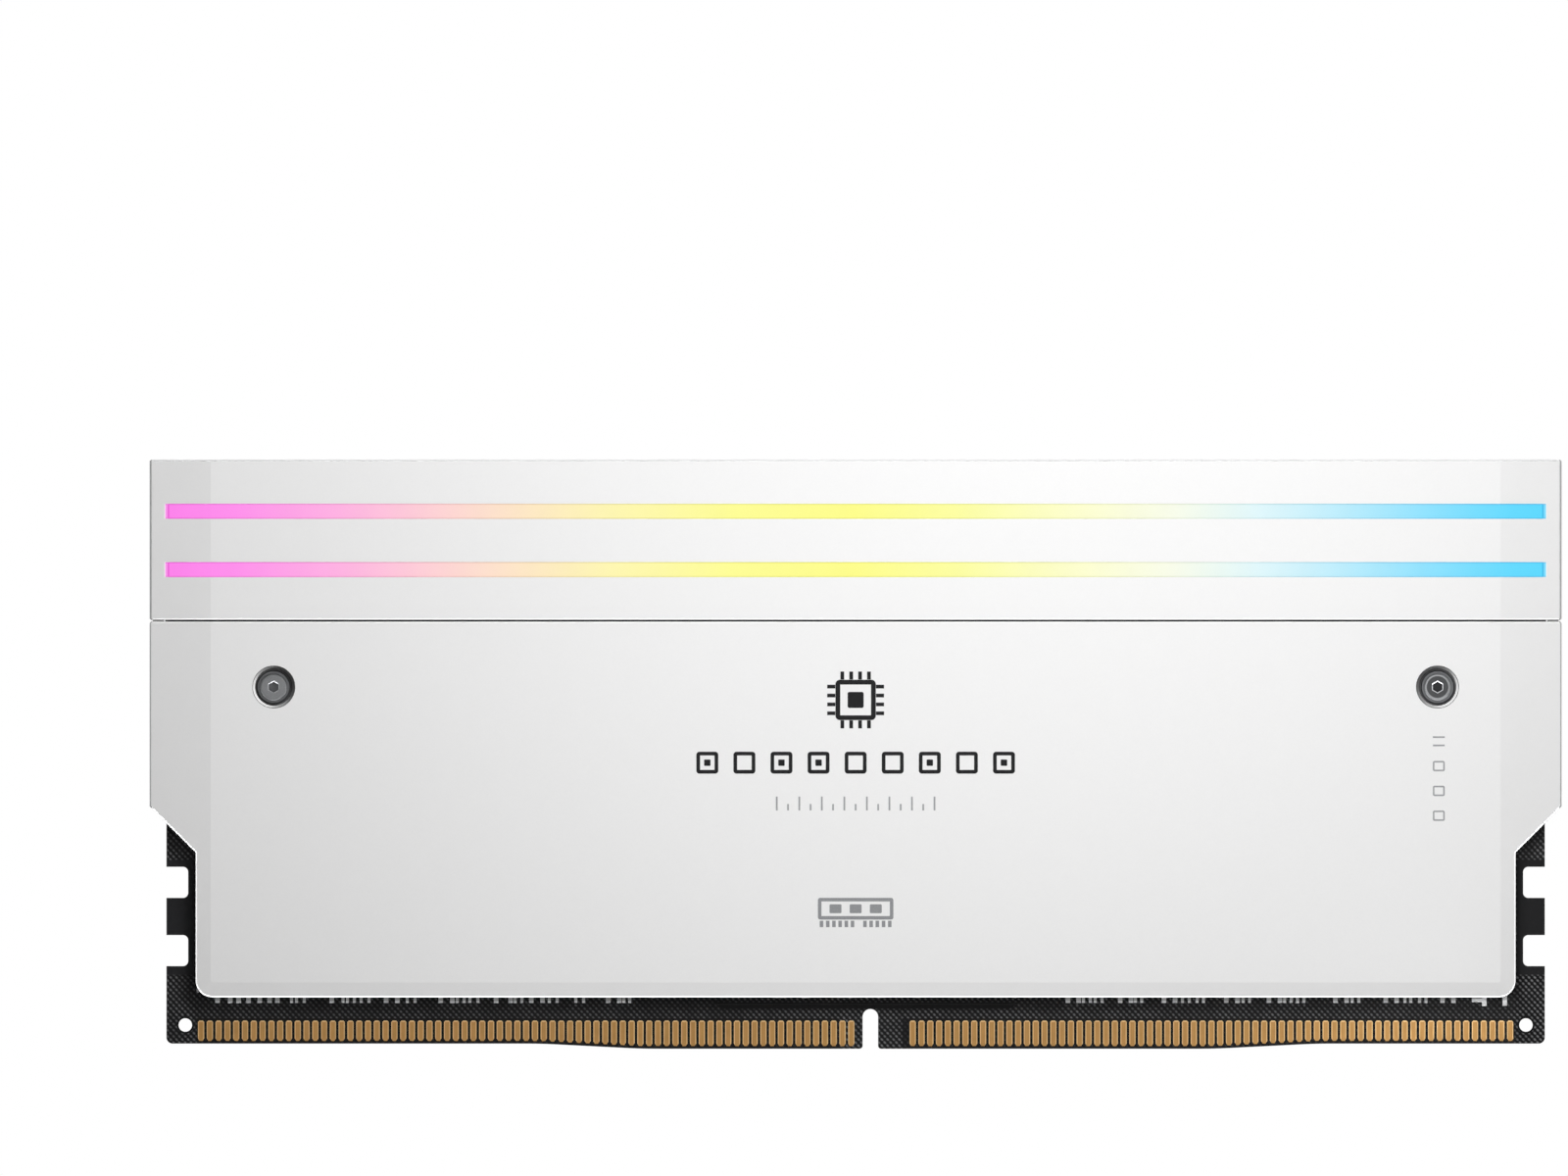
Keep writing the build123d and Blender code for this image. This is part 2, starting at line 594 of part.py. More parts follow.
# ----------------------------------------------------------------------------
# light bar shell: hollow cap with two long light slots in each face
# ----------------------------------------------------------------------------
BAR_TOP = 57.0
BAR_IN_Y = 2.8
BAR_IN_TOP = 55.5
BAR_END_R = 0.25
BAR_BEVEL = 0.14
SLOT_HALF = 66.85
SLOT_H = 1.45
SLOT_Z = (52.0, 46.36)
BOSS_X = 64.3
BOSS_R = 1.55
BOSS_BORE_R = 0.62
BOSS_BORE_DEPTH = 6.0
FRAME_BOT = 41.7
FRAME_TOP = 44.0

with BuildPart() as light_bar_shell:
    with BuildSketch(Plane.XY.offset(BAR_BOT)):
        Rectangle(BODY_W, BODY_T)
    extrude(amount=BAR_TOP - BAR_BOT)
    for plane in end_facets(-FACE_Y) + end_facets(FACE_Y):
        split(bisect_by=plane, keep=Keep.BOTTOM)
    end_edges = light_bar_shell.edges().filter_by(Axis.Z).filter_by(
        lambda edge: near(abs(edge.center().X), BODY_HALF_W)
    )
    fillet(end_edges, BAR_END_R)
    chamfer(light_bar_shell.faces().sort_by(Axis.Z)[-1].edges(), BAR_BEVEL)
    chamfer(light_bar_shell.faces().sort_by(Axis.Z)[0].edges(), BAR_BEVEL)
    # inside
    with BuildSketch(Plane.XY.offset(BAR_BOT)):
        Rectangle(2 * END_WALL_IN, 2 * BAR_IN_Y)
    extrude(amount=BAR_IN_TOP - BAR_BOT, mode=Mode.SUBTRACT)
    # light slots through both faces
    for z in SLOT_Z:
        with BuildSketch(Plane.XZ.offset(BODY_T)):
            with Locations((0, z)):
                Rectangle(2 * SLOT_HALF, SLOT_H)
        extrude(amount=-2 * BODY_T, mode=Mode.SUBTRACT)
    # lands that meet those of the heat spreaders
    with BuildSketch(Plane.XY.offset(BAR_BOT - LAND_H)):
        with Locations(*[(end * LAND_X, 0) for end in ENDS]):
            Rectangle(LAND_W, 2 * LAND_Y)
    extrude(amount=0.5)
    # screw bosses, running a little way into the roof
    with BuildSketch(Plane.XY.offset(FRAME_TOP)):
        with Locations((-BOSS_X, 0), (BOSS_X, 0)):
            Circle(BOSS_R)
    extrude(amount=BAR_IN_TOP - FRAME_TOP + 0.2)
    with BuildSketch(Plane.XY.offset(FRAME_TOP)):
        with Locations((-BOSS_X, 0), (BOSS_X, 0)):
            Circle(BOSS_BORE_R)
    extrude(amount=BOSS_BORE_DEPTH, mode=Mode.SUBTRACT)
export(light_bar_shell, "light_bar_shell")


# ----------------------------------------------------------------------------
# light guides: a back plate with two ribs that fill the slots
# ----------------------------------------------------------------------------
GUIDE_HALF = 66.5
GUIDE_H = 10.0
GUIDE_Z = 49.5
GUIDE_IN_Y = 1.8
GUIDE_OUT_Y = BAR_IN_Y - 0.02
RIB_HALF = 66.8
RIB_H = 1.43
RIB_IN_Y = BAR_IN_Y - 0.1  # the ribs start inside the plate
RIB_OUT_Y = FACE_Y - 0.22  # and stop short of the shell's face
with BuildPart() as light_guide_front:
    with BuildSketch(Plane.XZ.offset(GUIDE_IN_Y)):
        with Locations((0, GUIDE_Z)):
            Rectangle(2 * GUIDE_HALF, GUIDE_H)
    extrude(amount=GUIDE_OUT_Y - GUIDE_IN_Y)
    for z in SLOT_Z:
        with BuildSketch(Plane.XZ.offset(RIB_IN_Y)):
            with Locations((0, z)):
                Rectangle(2 * RIB_HALF, RIB_H)
        extrude(amount=RIB_OUT_Y - RIB_IN_Y)
    for plane in end_facets(-RIB_OUT_Y):
        split(bisect_by=plane, keep=Keep.BOTTOM)
export(light_guide_front, "light_guide_front")

with BuildPart() as light_guide_back:
    add(light_guide_front.part)
    mirror(about=Plane.XZ, mode=Mode.REPLACE)
export(light_guide_back, "light_guide_back")


# ----------------------------------------------------------------------------
# inner frame of the light bar: base with board groove, and two fork legs that
# straddle the standoffs
# ----------------------------------------------------------------------------
FRAME_T = 5.4
FRAME_CORNER_R = 0.4
LEG_W = 8.0
LEG_BOT = 32.6
LEG_TOP = FRAME_BOT + 0.5  # runs into the base
LEG_Y = 2.18
LEG_CORNER_R = 0.7
FORK_R = 1.7
SKIRT_HALF = 66.8
SKIRT_Y = 2.1
SKIRT_WALL = 0.6
SKIRT_BOT = 40.7
LED_BOARD_HALF = 61.0
LED_BOARD_BOT = 42.85
LED_BOARD_TOP = 54.4
FRAME_HOLE_R = 0.8
FRAME_BORE_R = 1.35
FRAME_BORE_DEPTH = 0.95

with BuildPart() as bar_frame:
    with BuildSketch(Plane.XY.offset(FRAME_BOT)):
        RectangleRounded(2 * GUIDE_HALF, FRAME_T, FRAME_CORNER_R)
    extrude(amount=FRAME_TOP - FRAME_BOT)
    for end in ENDS:
        with BuildSketch(Plane.XZ.offset(-LEG_Y)) as leg:
            with Locations((end * SCREW_X, (LEG_BOT + LEG_TOP) / 2)):
                Rectangle(LEG_W, LEG_TOP - LEG_BOT)
            fillet(leg.vertices().group_by(Axis.Y)[0], LEG_CORNER_R)
            with Locations((end * SCREW_X, SCREW_Z)):
                Circle(FORK_R, mode=Mode.SUBTRACT)
            # the fork is cut 1 mm past the foot of the leg
            with Locations((end * SCREW_X, (LEG_BOT - 1 + SCREW_Z) / 2)):
                Rectangle(2 * FORK_R, SCREW_Z - LEG_BOT + 1, mode=Mode.SUBTRACT)
        extrude(amount=2 * LEG_Y)
    # skirt that drops between the heat spreaders and closes the seam to light
    with BuildSketch(Plane.XY.offset(SKIRT_BOT)):
        Rectangle(2 * SKIRT_HALF, 2 * SKIRT_Y)
        Rectangle(2 * (SKIRT_HALF - SKIRT_WALL), 2 * (SKIRT_Y - SKIRT_WALL), mode=Mode.SUBTRACT)
    extrude(amount=FRAME_BOT + 0.1 - SKIRT_BOT)
    # groove that holds the light board, and the window its tongue passes through
    with BuildSketch(Plane.XY.offset(FRAME_TOP)):
        Rectangle(2 * LED_BOARD_HALF + 0.3, LED_BOARD_T + 0.1)
    extrude(amount=-(FRAME_TOP - LED_BOARD_BOT), mode=Mode.SUBTRACT)
    with BuildSketch(Plane.XY.offset(FRAME_TOP)):
        Rectangle(2 * TONGUE_HALF + TONGUE_GAP, LED_BOARD_T + 0.3)
    extrude(amount=-4, mode=Mode.SUBTRACT)
    for end in ENDS:
        with Locations(Plane(origin=(end * BOSS_X, 0, FRAME_BOT), z_dir=(0, 0, -1))):
            CounterBoreHole(FRAME_HOLE_R, FRAME_BORE_R, FRAME_BORE_DEPTH)
export(bar_frame, "bar_frame")

# cross-slot screws, heads down
frame_seat_z = FRAME_BOT + FRAME_BORE_DEPTH
FRAME_HEAD_R = 1.25
FRAME_HEAD_H = 0.75
FRAME_SHANK_R = 0.6
FRAME_SHANK_H = 5.0
CROSS_LENGTH = 1.3
CROSS_WIDTH = 0.28
CROSS_DEPTH = 0.4
with BuildPart() as frame_screws:
    for end in ENDS:
        with BuildSketch(Plane.XY.offset(frame_seat_z)):
            with Locations((end * BOSS_X, 0)):
                Circle(FRAME_HEAD_R)
        extrude(amount=-FRAME_HEAD_H)
        with BuildSketch(Plane.XY.offset(frame_seat_z)):
            with Locations((end * BOSS_X, 0)):
                Circle(FRAME_SHANK_R)
        extrude(amount=FRAME_SHANK_H)
        with BuildSketch(Plane.XY.offset(frame_seat_z - FRAME_HEAD_H)):
            with Locations((end * BOSS_X, 0)):
                Rectangle(CROSS_LENGTH, CROSS_WIDTH)
                Rectangle(CROSS_WIDTH, CROSS_LENGTH)
        extrude(amount=CROSS_DEPTH, mode=Mode.SUBTRACT)
export(frame_screws, "frame_screws")


# ----------------------------------------------------------------------------
# light board with its tongue, contacts, leds and capacitors
# ----------------------------------------------------------------------------
LED_BOARD_R = 0.5
TONGUE_BOT = 32.4
TONGUE_BEVEL = 0.6
tongue_top = LED_BOARD_BOT + 0.5  # runs into the strip
tongue_tip = TONGUE_HALF - TONGUE_BEVEL
with BuildPart() as led_board:
    with BuildSketch(Plane.XZ.offset(-LED_BOARD_T / 2)) as strip:
        with Locations((0, (LED_BOARD_BOT + LED_BOARD_TOP) / 2)):
            Rectangle(2 * LED_BOARD_HALF, LED_BOARD_TOP - LED_BOARD_BOT)
        fillet(strip.vertices(), LED_BOARD_R)
        with BuildLine():
            Polyline(
                (-TONGUE_HALF, tongue_top),
                (-TONGUE_HALF, TONGUE_BOT + TONGUE_BEVEL),
                (-tongue_tip, TONGUE_BOT),
                (tongue_tip, TONGUE_BOT),
                (TONGUE_HALF, TONGUE_BOT + TONGUE_BEVEL),
                (TONGUE_HALF, tongue_top),
                close=True,
            )
        make_face()
    extrude(amount=LED_BOARD_T)
export(led_board, "led_board")

FINGER_Z = 34.6
FINGER_W, FINGER_H, FINGER_T = 0.62, 3.4, 0.04
FINGER_R = 0.12
with BuildPart() as led_board_contacts:
    for side in (FRONT, BACK):
        with BuildSketch(Plane.XZ.offset(side * LED_BOARD_T / 2)):
            with Locations(*[(x, FINGER_Z) for x in PIN_X]):
                RectangleRounded(FINGER_W, FINGER_H, FINGER_R)
        extrude(amount=side * FINGER_T)
export(led_board_contacts, "led_board_contacts")

LED_Z = 49.2
LED_X = [11.0 * i for i in range(-5, 6)]
LED_W, LED_H, LED_T = 2.0, 1.6, 0.7
WINDOW_W, WINDOW_H, WINDOW_DEPTH = 1.5, 1.1, 0.15  # recess in the face of each led
WINDOW_R = 0.2
for name, side in (("leds_front", FRONT), ("leds_back", BACK)):
    with BuildPart() as leds:
        with BuildSketch(Plane.XZ.offset(side * LED_BOARD_T / 2)):
            with Locations(*[(x, LED_Z) for x in LED_X]):
                Rectangle(LED_W, LED_H)
        extrude(amount=side * LED_T)
        with BuildSketch(Plane.XZ.offset(side * (LED_BOARD_T / 2 + LED_T))):
            with Locations(*[(x, LED_Z) for x in LED_X]):
                RectangleRounded(WINDOW_W, WINDOW_H, WINDOW_R)
        extrude(amount=-side * WINDOW_DEPTH, mode=Mode.SUBTRACT)
    export(leds, name)

LED_CAP_SHIFT = 2.6  # each capacitor stands this far right of its led
with BuildPart() as led_capacitors:
    for side in (FRONT, BACK):
        with BuildSketch(Plane.XZ.offset(side * LED_BOARD_T / 2)):
            with Locations(*[(x + LED_CAP_SHIFT, LED_Z) for x in LED_X]):
                Rectangle(SMALL_CAP_W, SMALL_CAP_H)
        extrude(amount=side * SMALL_CAP_T)
export(led_capacitors, "led_capacitors")
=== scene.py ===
"""A memory module in a white clamped heat spreader, with a lit bar along its top.

The module stands upright, centred on x = 0. Its length runs along x, its thickness along y and
its height along z. The front faces -y and the contacts are at the bottom. Blender works in
metres; sizes here are in millimetres unless a comment says otherwise.
"""
import json
import math
from functools import cached_property

import bmesh
import bpy
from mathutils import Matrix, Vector


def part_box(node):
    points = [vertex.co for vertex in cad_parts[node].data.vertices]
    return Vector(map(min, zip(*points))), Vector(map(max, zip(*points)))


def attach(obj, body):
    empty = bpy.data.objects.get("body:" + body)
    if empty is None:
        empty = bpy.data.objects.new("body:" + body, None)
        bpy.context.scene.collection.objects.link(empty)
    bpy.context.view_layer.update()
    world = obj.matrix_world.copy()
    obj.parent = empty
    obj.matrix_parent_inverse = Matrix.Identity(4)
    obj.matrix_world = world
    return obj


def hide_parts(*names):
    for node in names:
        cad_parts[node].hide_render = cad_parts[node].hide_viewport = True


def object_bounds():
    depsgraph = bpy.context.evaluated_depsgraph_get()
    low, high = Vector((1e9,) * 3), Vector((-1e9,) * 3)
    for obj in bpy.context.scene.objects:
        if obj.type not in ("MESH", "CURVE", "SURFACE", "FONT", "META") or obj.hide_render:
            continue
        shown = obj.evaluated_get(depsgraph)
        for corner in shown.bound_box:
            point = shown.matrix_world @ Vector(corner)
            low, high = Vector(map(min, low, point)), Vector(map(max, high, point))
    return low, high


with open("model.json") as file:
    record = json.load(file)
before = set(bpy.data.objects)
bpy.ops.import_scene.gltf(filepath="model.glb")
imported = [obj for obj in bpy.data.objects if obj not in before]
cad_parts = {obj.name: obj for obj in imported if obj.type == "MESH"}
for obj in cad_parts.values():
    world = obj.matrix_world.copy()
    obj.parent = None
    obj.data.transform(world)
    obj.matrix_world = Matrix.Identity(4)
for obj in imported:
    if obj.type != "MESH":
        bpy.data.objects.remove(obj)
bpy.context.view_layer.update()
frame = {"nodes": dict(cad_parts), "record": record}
nodes = frame["nodes"]
scene = bpy.context.scene

MM = 0.001
MM_PER_M = 1000.0
FRONT, BACK = -1, 1  # sign of y

SEAM_Z = 41.42  # seam across the heat spreader
SCREW_X, SCREW_Z = 56.3, 35.0  # screw axes, at +x and -x
SLOT_Z = (52.0, 46.36)  # middle lines of the two light slots
PAD_PITCH = 0.85  # gold contacts
FIRST_PAD_X = -63.325

X_AXIS_SIDES = (-1.0, 1.0)  # x range over which a value changes from the -x to the +x side
Y_AXIS, Z_AXIS, DOWN = (0.0, 1.0, 0.0), (0.0, 0.0, 1.0), (0.0, 0.0, -1.0)
WHITE = (1.0, 1.0, 1.0, 1.0)
# near-black painted shade, used in the seam and inside the screw sockets
SHADE_BLACK = (0.035, 0.035, 0.037)


# ---------------------------------------------------------------------------
# Shader graphs
# ---------------------------------------------------------------------------
class Signal:
    """A node output. Arithmetic on it adds maths nodes to its graph."""

    def __init__(self, graph, socket):
        self.graph = graph
        self.socket = socket

    def __add__(self, other):
        return self.graph.math("ADD", self, other)

    def __radd__(self, other):
        return self.graph.math("ADD", other, self)

    def __sub__(self, other):
        return self.graph.math("SUBTRACT", self, other)

    def __rsub__(self, other):
        return self.graph.math("SUBTRACT", other, self)

    def __mul__(self, other):
        return self.graph.math("MULTIPLY", self, other)

    def __truediv__(self, other):
        return self.graph.math("DIVIDE", self, other)

    def __pow__(self, other):
        return self.graph.math("POWER", self, other)

    def __lt__(self, other):
        return self.graph.math("LESS_THAN", self, other)

    def __abs__(self):
        return self.graph.math("ABSOLUTE", self)

    def max(self, other):
        return self.graph.math("MAXIMUM", self, other)

    def min(self, other):
        return self.graph.math("MINIMUM", self, other)

    def sqrt(self):
        return self.graph.math("SQRT", self)

    def sine(self):
        return self.graph.math("SINE", self)

    def floor(self):
        return self.graph.math("FLOOR", self)

    def fraction(self):
        return self.graph.math("FRACT", self)

    def complement(self):
        """One minus the value, kept in 0..1."""
        return self.graph.math("SUBTRACT", 1.0, self, clamp=True)

    def ease(self, over, onto):
        """Map the range over onto another with a smooth step, clamped."""
        return self.graph.map_range(self, over, onto, "SMOOTHSTEP")

    def rise(self, over):
        return self.ease(over, onto=(0.0, 1.0))

    def fall(self, over):
        return self.ease(over, onto=(1.0, 0.0))

    def spread(self, low, high, over=(0.2, 0.8)):
        """Map the range over onto low..high in a straight line, clamped."""
        return self.graph.map_range(self, over, (low, high), "LINEAR")


class Graph:
    """A node tree, emptied and ready to be built."""

    unused_math_inputs = ()

    def __init__(self, tree):
        self.tree = tree
        tree.nodes.clear()

    def feed(self, socket, value):
        """Link a signal to the socket, or set a plain value."""
        if isinstance(value, Signal):
            self.tree.links.new(value.socket, socket)
        else:
            socket.default_value = value

    def add(self, kind, inputs=(), **settings):
        """Add a node. inputs lists (index or name, value) pairs."""
        node = self.tree.nodes.new("ShaderNode" + kind)
        for name, value in settings.items():
            setattr(node, name, value)
        for key, value in inputs:
            self.feed(node.inputs[key], value)
        return node

    def signal(self, kind, inputs=(), output=0, **settings):
        """Add a node and return one of its outputs."""
        return Signal(self, self.add(kind, inputs, **settings).outputs[output])

    def math(self, operation, first, second=0.0, clamp=False):
        values = (first, second, *self.unused_math_inputs)
        return self.signal("Math", enumerate(values), operation=operation, use_clamp=clamp)

    def map_range(self, value, over, onto, interpolation):
        inputs = enumerate((value, *over, *onto))
        return self.signal("MapRange", inputs, interpolation_type=interpolation, clamp=True)


class Material(Graph):
    """A principled material with procedural detail in object space."""

    unused_math_inputs = (0.0,)

    def __init__(self, name):
        self.data = bpy.data.materials.new(name)
        self.data.use_nodes = True
        super().__init__(self.data.node_tree)
        output = self.add("OutputMaterial")
        self.surface = self.add("BsdfPrincipled")
        self.tree.links.new(self.surface.outputs[0], output.inputs[0])

    @cached_property
    def coords(self):
        return self.signal("TexCoord", output="Object")

    @cached_property
    def axes(self):
        return self.add("SeparateXYZ", [(0, self.coords)])

    def millimetres(self, axis):
        return Signal(self, self.axes.outputs[axis]) * MM_PER_M

    @cached_property
    def x(self):
        return self.millimetres(0)

    @cached_property
    def y(self):
        return self.millimetres(1)

    @cached_property
    def z(self):
        return self.millimetres(2)

    @cached_property
    def geometry(self):
        return self.add("NewGeometry")

    @cached_property
    def true_normal(self):
        return Signal(self, self.geometry.outputs["True Normal"])

    def set(self, **inputs):
        """Set inputs of the principled shader, with _ for a space in their names."""
        for name, value in inputs.items():
            self.feed(self.surface.inputs[name.replace("_", " ")], value)

    def dot(self, first, second):
        inputs = [(0, first), (1, second)]
        return self.signal("VectorMath", inputs, "Value", operation="DOT_PRODUCT")

    def toward(self, direction):
        """1 where the surface faces the direction, 0 edge on, -1 facing away."""
        return self.dot(self.true_normal, direction)

    def facing(self):
        """1 on surfaces turned to the viewer, 0 where they are seen nearly edge on."""
        incoming = Signal(self, self.geometry.outputs["Incoming"])
        return abs(self.dot(incoming, self.true_normal)).rise(over=(0.22, 0.50))

    def noise(self, size, detail=2.0, roughness=0.5, stretch=None):
        """Noise with features about size across, 0..1. stretch scales frequency per axis."""
        place = self.coords
        if stretch:
            place = self.signal("VectorMath", [(0, place), (1, stretch)], operation="MULTIPLY")
        inputs = [("Vector", place), ("Scale", MM_PER_M / size),
                  ("Detail", detail), ("Roughness", roughness)]
        return self.signal("TexNoise", inputs, "Fac")

    def cells(self, size):
        """Distance to the middle of the nearest random cell."""
        inputs = [("Vector", self.coords), ("Scale", MM_PER_M / size)]
        return self.signal("TexVoronoi", inputs, "Distance")

    def mix(self, base, towards, amount, mode="MIX"):
        """base turned towards another colour by amount."""
        base, towards = ((*c, 1.0) if isinstance(c, tuple) else c for c in (base, towards))
        inputs = [(0, amount), (6, base), (7, towards)]
        return self.signal("Mix", inputs, 2, data_type="RGBA", blend_type=mode)

    def scaled(self, colour, factor):
        inputs = [(0, colour), ("Scale", factor)]
        return self.signal("VectorMath", inputs, operation="SCALE")

    def rounded(self, radius, samples):
        """Normal rounded over edges."""
        return self.signal("Bevel", [("Radius", radius * MM)], samples=samples)

    def edge_mask(self, radius, over=(0.02, 0.30), samples=6):
        """0 on flats, towards 1 near edges."""
        level = abs(self.dot(self.rounded(radius, samples), self.true_normal))
        return level.complement().rise(over)

    def relief(self, height, depth, strength, edge=None, samples=6):
        """Bump the surface, over edges rounded by the radius edge if given."""
        inputs = [("Strength", strength), ("Distance", depth * MM), ("Height", height)]
        if edge is not None:
            inputs.append(("Normal", self.rounded(edge, samples)))
        self.set(Normal=self.signal("Bump", inputs))


def from_screw(m, side_x):
    """Offsets outward and up from the nearer screw axis, and the distance from it."""
    out = side_x - SCREW_X
    up = m.z - SCREW_Z
    return out, up, (out * out + up * up).sqrt()


# ---------------------------------------------------------------------------
# Materials. Distances are in mm; colours are linear.
# ---------------------------------------------------------------------------
def white_paint():
    """Satin white powder coat: fine grain, faint mottle, slightly polished edges, with painted
    highlights and shade at edges, seam, rims and screw seats.
    """
    m = Material("white_paint")
    grain = m.noise(size=0.11, detail=3.0, roughness=0.6)
    mottle = m.noise(size=2.6, detail=3.0, roughness=0.55)
    peel = m.noise(size=0.42)
    tone = (grain.spread(low=-0.016, high=0.016, over=(0.25, 0.75))
            + mottle.spread(low=-0.006, high=0.006, over=(0.3, 0.7)))
    edge_mask = m.edge_mask(radius=0.10)
    speck = m.noise(size=0.5, detail=4.0, roughness=0.7).rise(over=(0.62, 0.80))
    base = m.scaled((0.910, 0.908, 0.906), 1.0 + tone)
    # painted highlight: the paint is lightened along the edges; the grey specks on the edges
    # are worn paint
    base = m.mix(base, towards=(0.97, 0.97, 0.97), amount=edge_mask * 0.35)
    base = m.mix(base, towards=(0.62, 0.63, 0.64), amount=edge_mask * speck * 0.5)

    # painted shade: the faces that meet across the seam are coloured near-black, so the seam
    # reads as a dark line
    level = abs(m.toward(Z_AXIS))
    seam = abs(m.z - SEAM_Z) < 0.15
    base = m.mix(base, towards=SHADE_BLACK, amount=seam * level.rise(over=(0.85, 0.95)))

    # painted shade: the slanted rims of the rounded ends and of the top are darkened into a
    # grey outline
    flat = abs(m.toward(Y_AXIS))  # 1 on the front and back faces
    side_x = abs(m.x)
    slant = flat.rise(over=(0.10, 0.20)) * flat.fall(over=(0.93, 0.97))
    end = side_x.rise(over=(68.06, 68.10)) * slant
    top = m.z.rise(over=(56.84, 56.87)) * slant
    base = m.mix(base, towards=(0.30, 0.303, 0.31), amount=end * 0.80)
    base = m.mix(base, towards=(0.50, 0.503, 0.51), amount=top * 0.60)

    # the other narrow lips are rubbed smooth and catch a line of light
    lip = flat.rise(over=(0.50, 0.60)) * flat.fall(over=(0.80, 0.90))
    lip = lip * (side_x.fall(over=(68.0, 68.05)) * m.z.fall(over=(56.7, 56.8)))
    # painted shade: the lip edges nearest the seam are made near-black, widening the seam's
    # dark line
    seam_line_shade = abs(m.z - SEAM_Z).fall(over=(0.085, 0.10))
    lip = lip * seam_line_shade.complement()
    base = m.mix(base, towards=SHADE_BLACK, amount=seam_line_shade)

    # screw seats, painted shade: a dark ring round the mouth, walls darkened on their inward
    # side, near-black at the bottom
    mouth_edge, wall_foot = (1.97, 2.02), (1.80, 1.83)  # distances from the screw axis
    out, up, radius = from_screw(m, side_x)
    walls = flat.fall(over=(0.80, 0.90)) * radius.fall(over=(2.10, 2.15))
    mouth = walls * radius.rise(over=mouth_edge)
    base = m.mix(base, towards=(0.16, 0.162, 0.167), amount=mouth * 0.70)
    # direction from the axis: highest outward and a little down; 0.01 avoids a zero divisor
    outward = (out * 0.85 - up * 0.45) / (radius + 0.01)
    flare = walls * (radius.rise(over=wall_foot) * radius.fall(over=mouth_edge))
    shadow = (m.x.ease(over=X_AXIS_SIDES, onto=(0.62, 0.40))
              * outward.fall(over=(-0.80, 0.30)))
    base = m.mix(base, towards=(0.12, 0.122, 0.127),
                 amount=walls * radius.rise(over=wall_foot) * shadow)
    pit = radius.fall(over=(1.83, 1.86)) * abs(m.y).fall(over=(3.26, 3.34))
    base = m.mix(base, towards=(0.08, 0.08, 0.083), amount=pit)
    lip = lip * radius.rise(over=(2.2, 2.3))

    roughness = 0.34 + mottle.spread(low=-0.035, high=0.035)
    m.set(Base_Color=base, Roughness=roughness - edge_mask.max(lip) * 0.14)
    m.set(Specular_IOR_Level=m.facing() * (0.5 - end * 0.4), IOR=1.5 + lip * 0.6)

    # painted highlights: emission on the lips that face each other across the seam, stronger on
    # those facing down, and on the seat walls' outward side
    groove = lip * (abs(m.z - SEAM_Z) < 0.3)
    underside = m.toward(DOWN).rise(over=(0.3, 0.5))
    glow = groove * (0.10 + underside * 0.32)
    flare_glow = flare * outward.ease(over=(0.20, 0.85), onto=(0.0, 0.34))
    m.set(Emission_Color=WHITE, Emission_Strength=glow + flare_glow)
    m.relief(grain * 0.6 + peel * 0.4, depth=0.004, strength=0.55, edge=0.05)
    return m.data


def hatch_dots(m):
    """Slanted dots on a centred lattice: every other row is offset by half a column."""
    column, row = 0.564, 0.300  # pitches
    half_length, half_width = 0.155, 0.098
    row_number = m.z / -row
    column_number = (m.x - row_number * (column / 2)) / column
    # the added whole cells keep the numbers positive
    in_row = (row_number + 400.5).fraction() - 0.5
    in_column = (column_number + 800.5).fraction() - 0.5
    dx = in_column * column + in_row * (column / 2)
    dz = in_row * -row
    # the dots lie along the lattice's falling diagonal
    diagonal = math.hypot(column / 2, row)
    slant_x, slant_z = column / 2 / diagonal, -row / diagonal
    along = dx * slant_x + dz * slant_z
    across = dx * -slant_z + dz * slant_x
    distance = ((along / half_length) ** 2.0 + (across / half_width) ** 2.0).sqrt()
    return distance.fall(over=(0.15, 1.60))


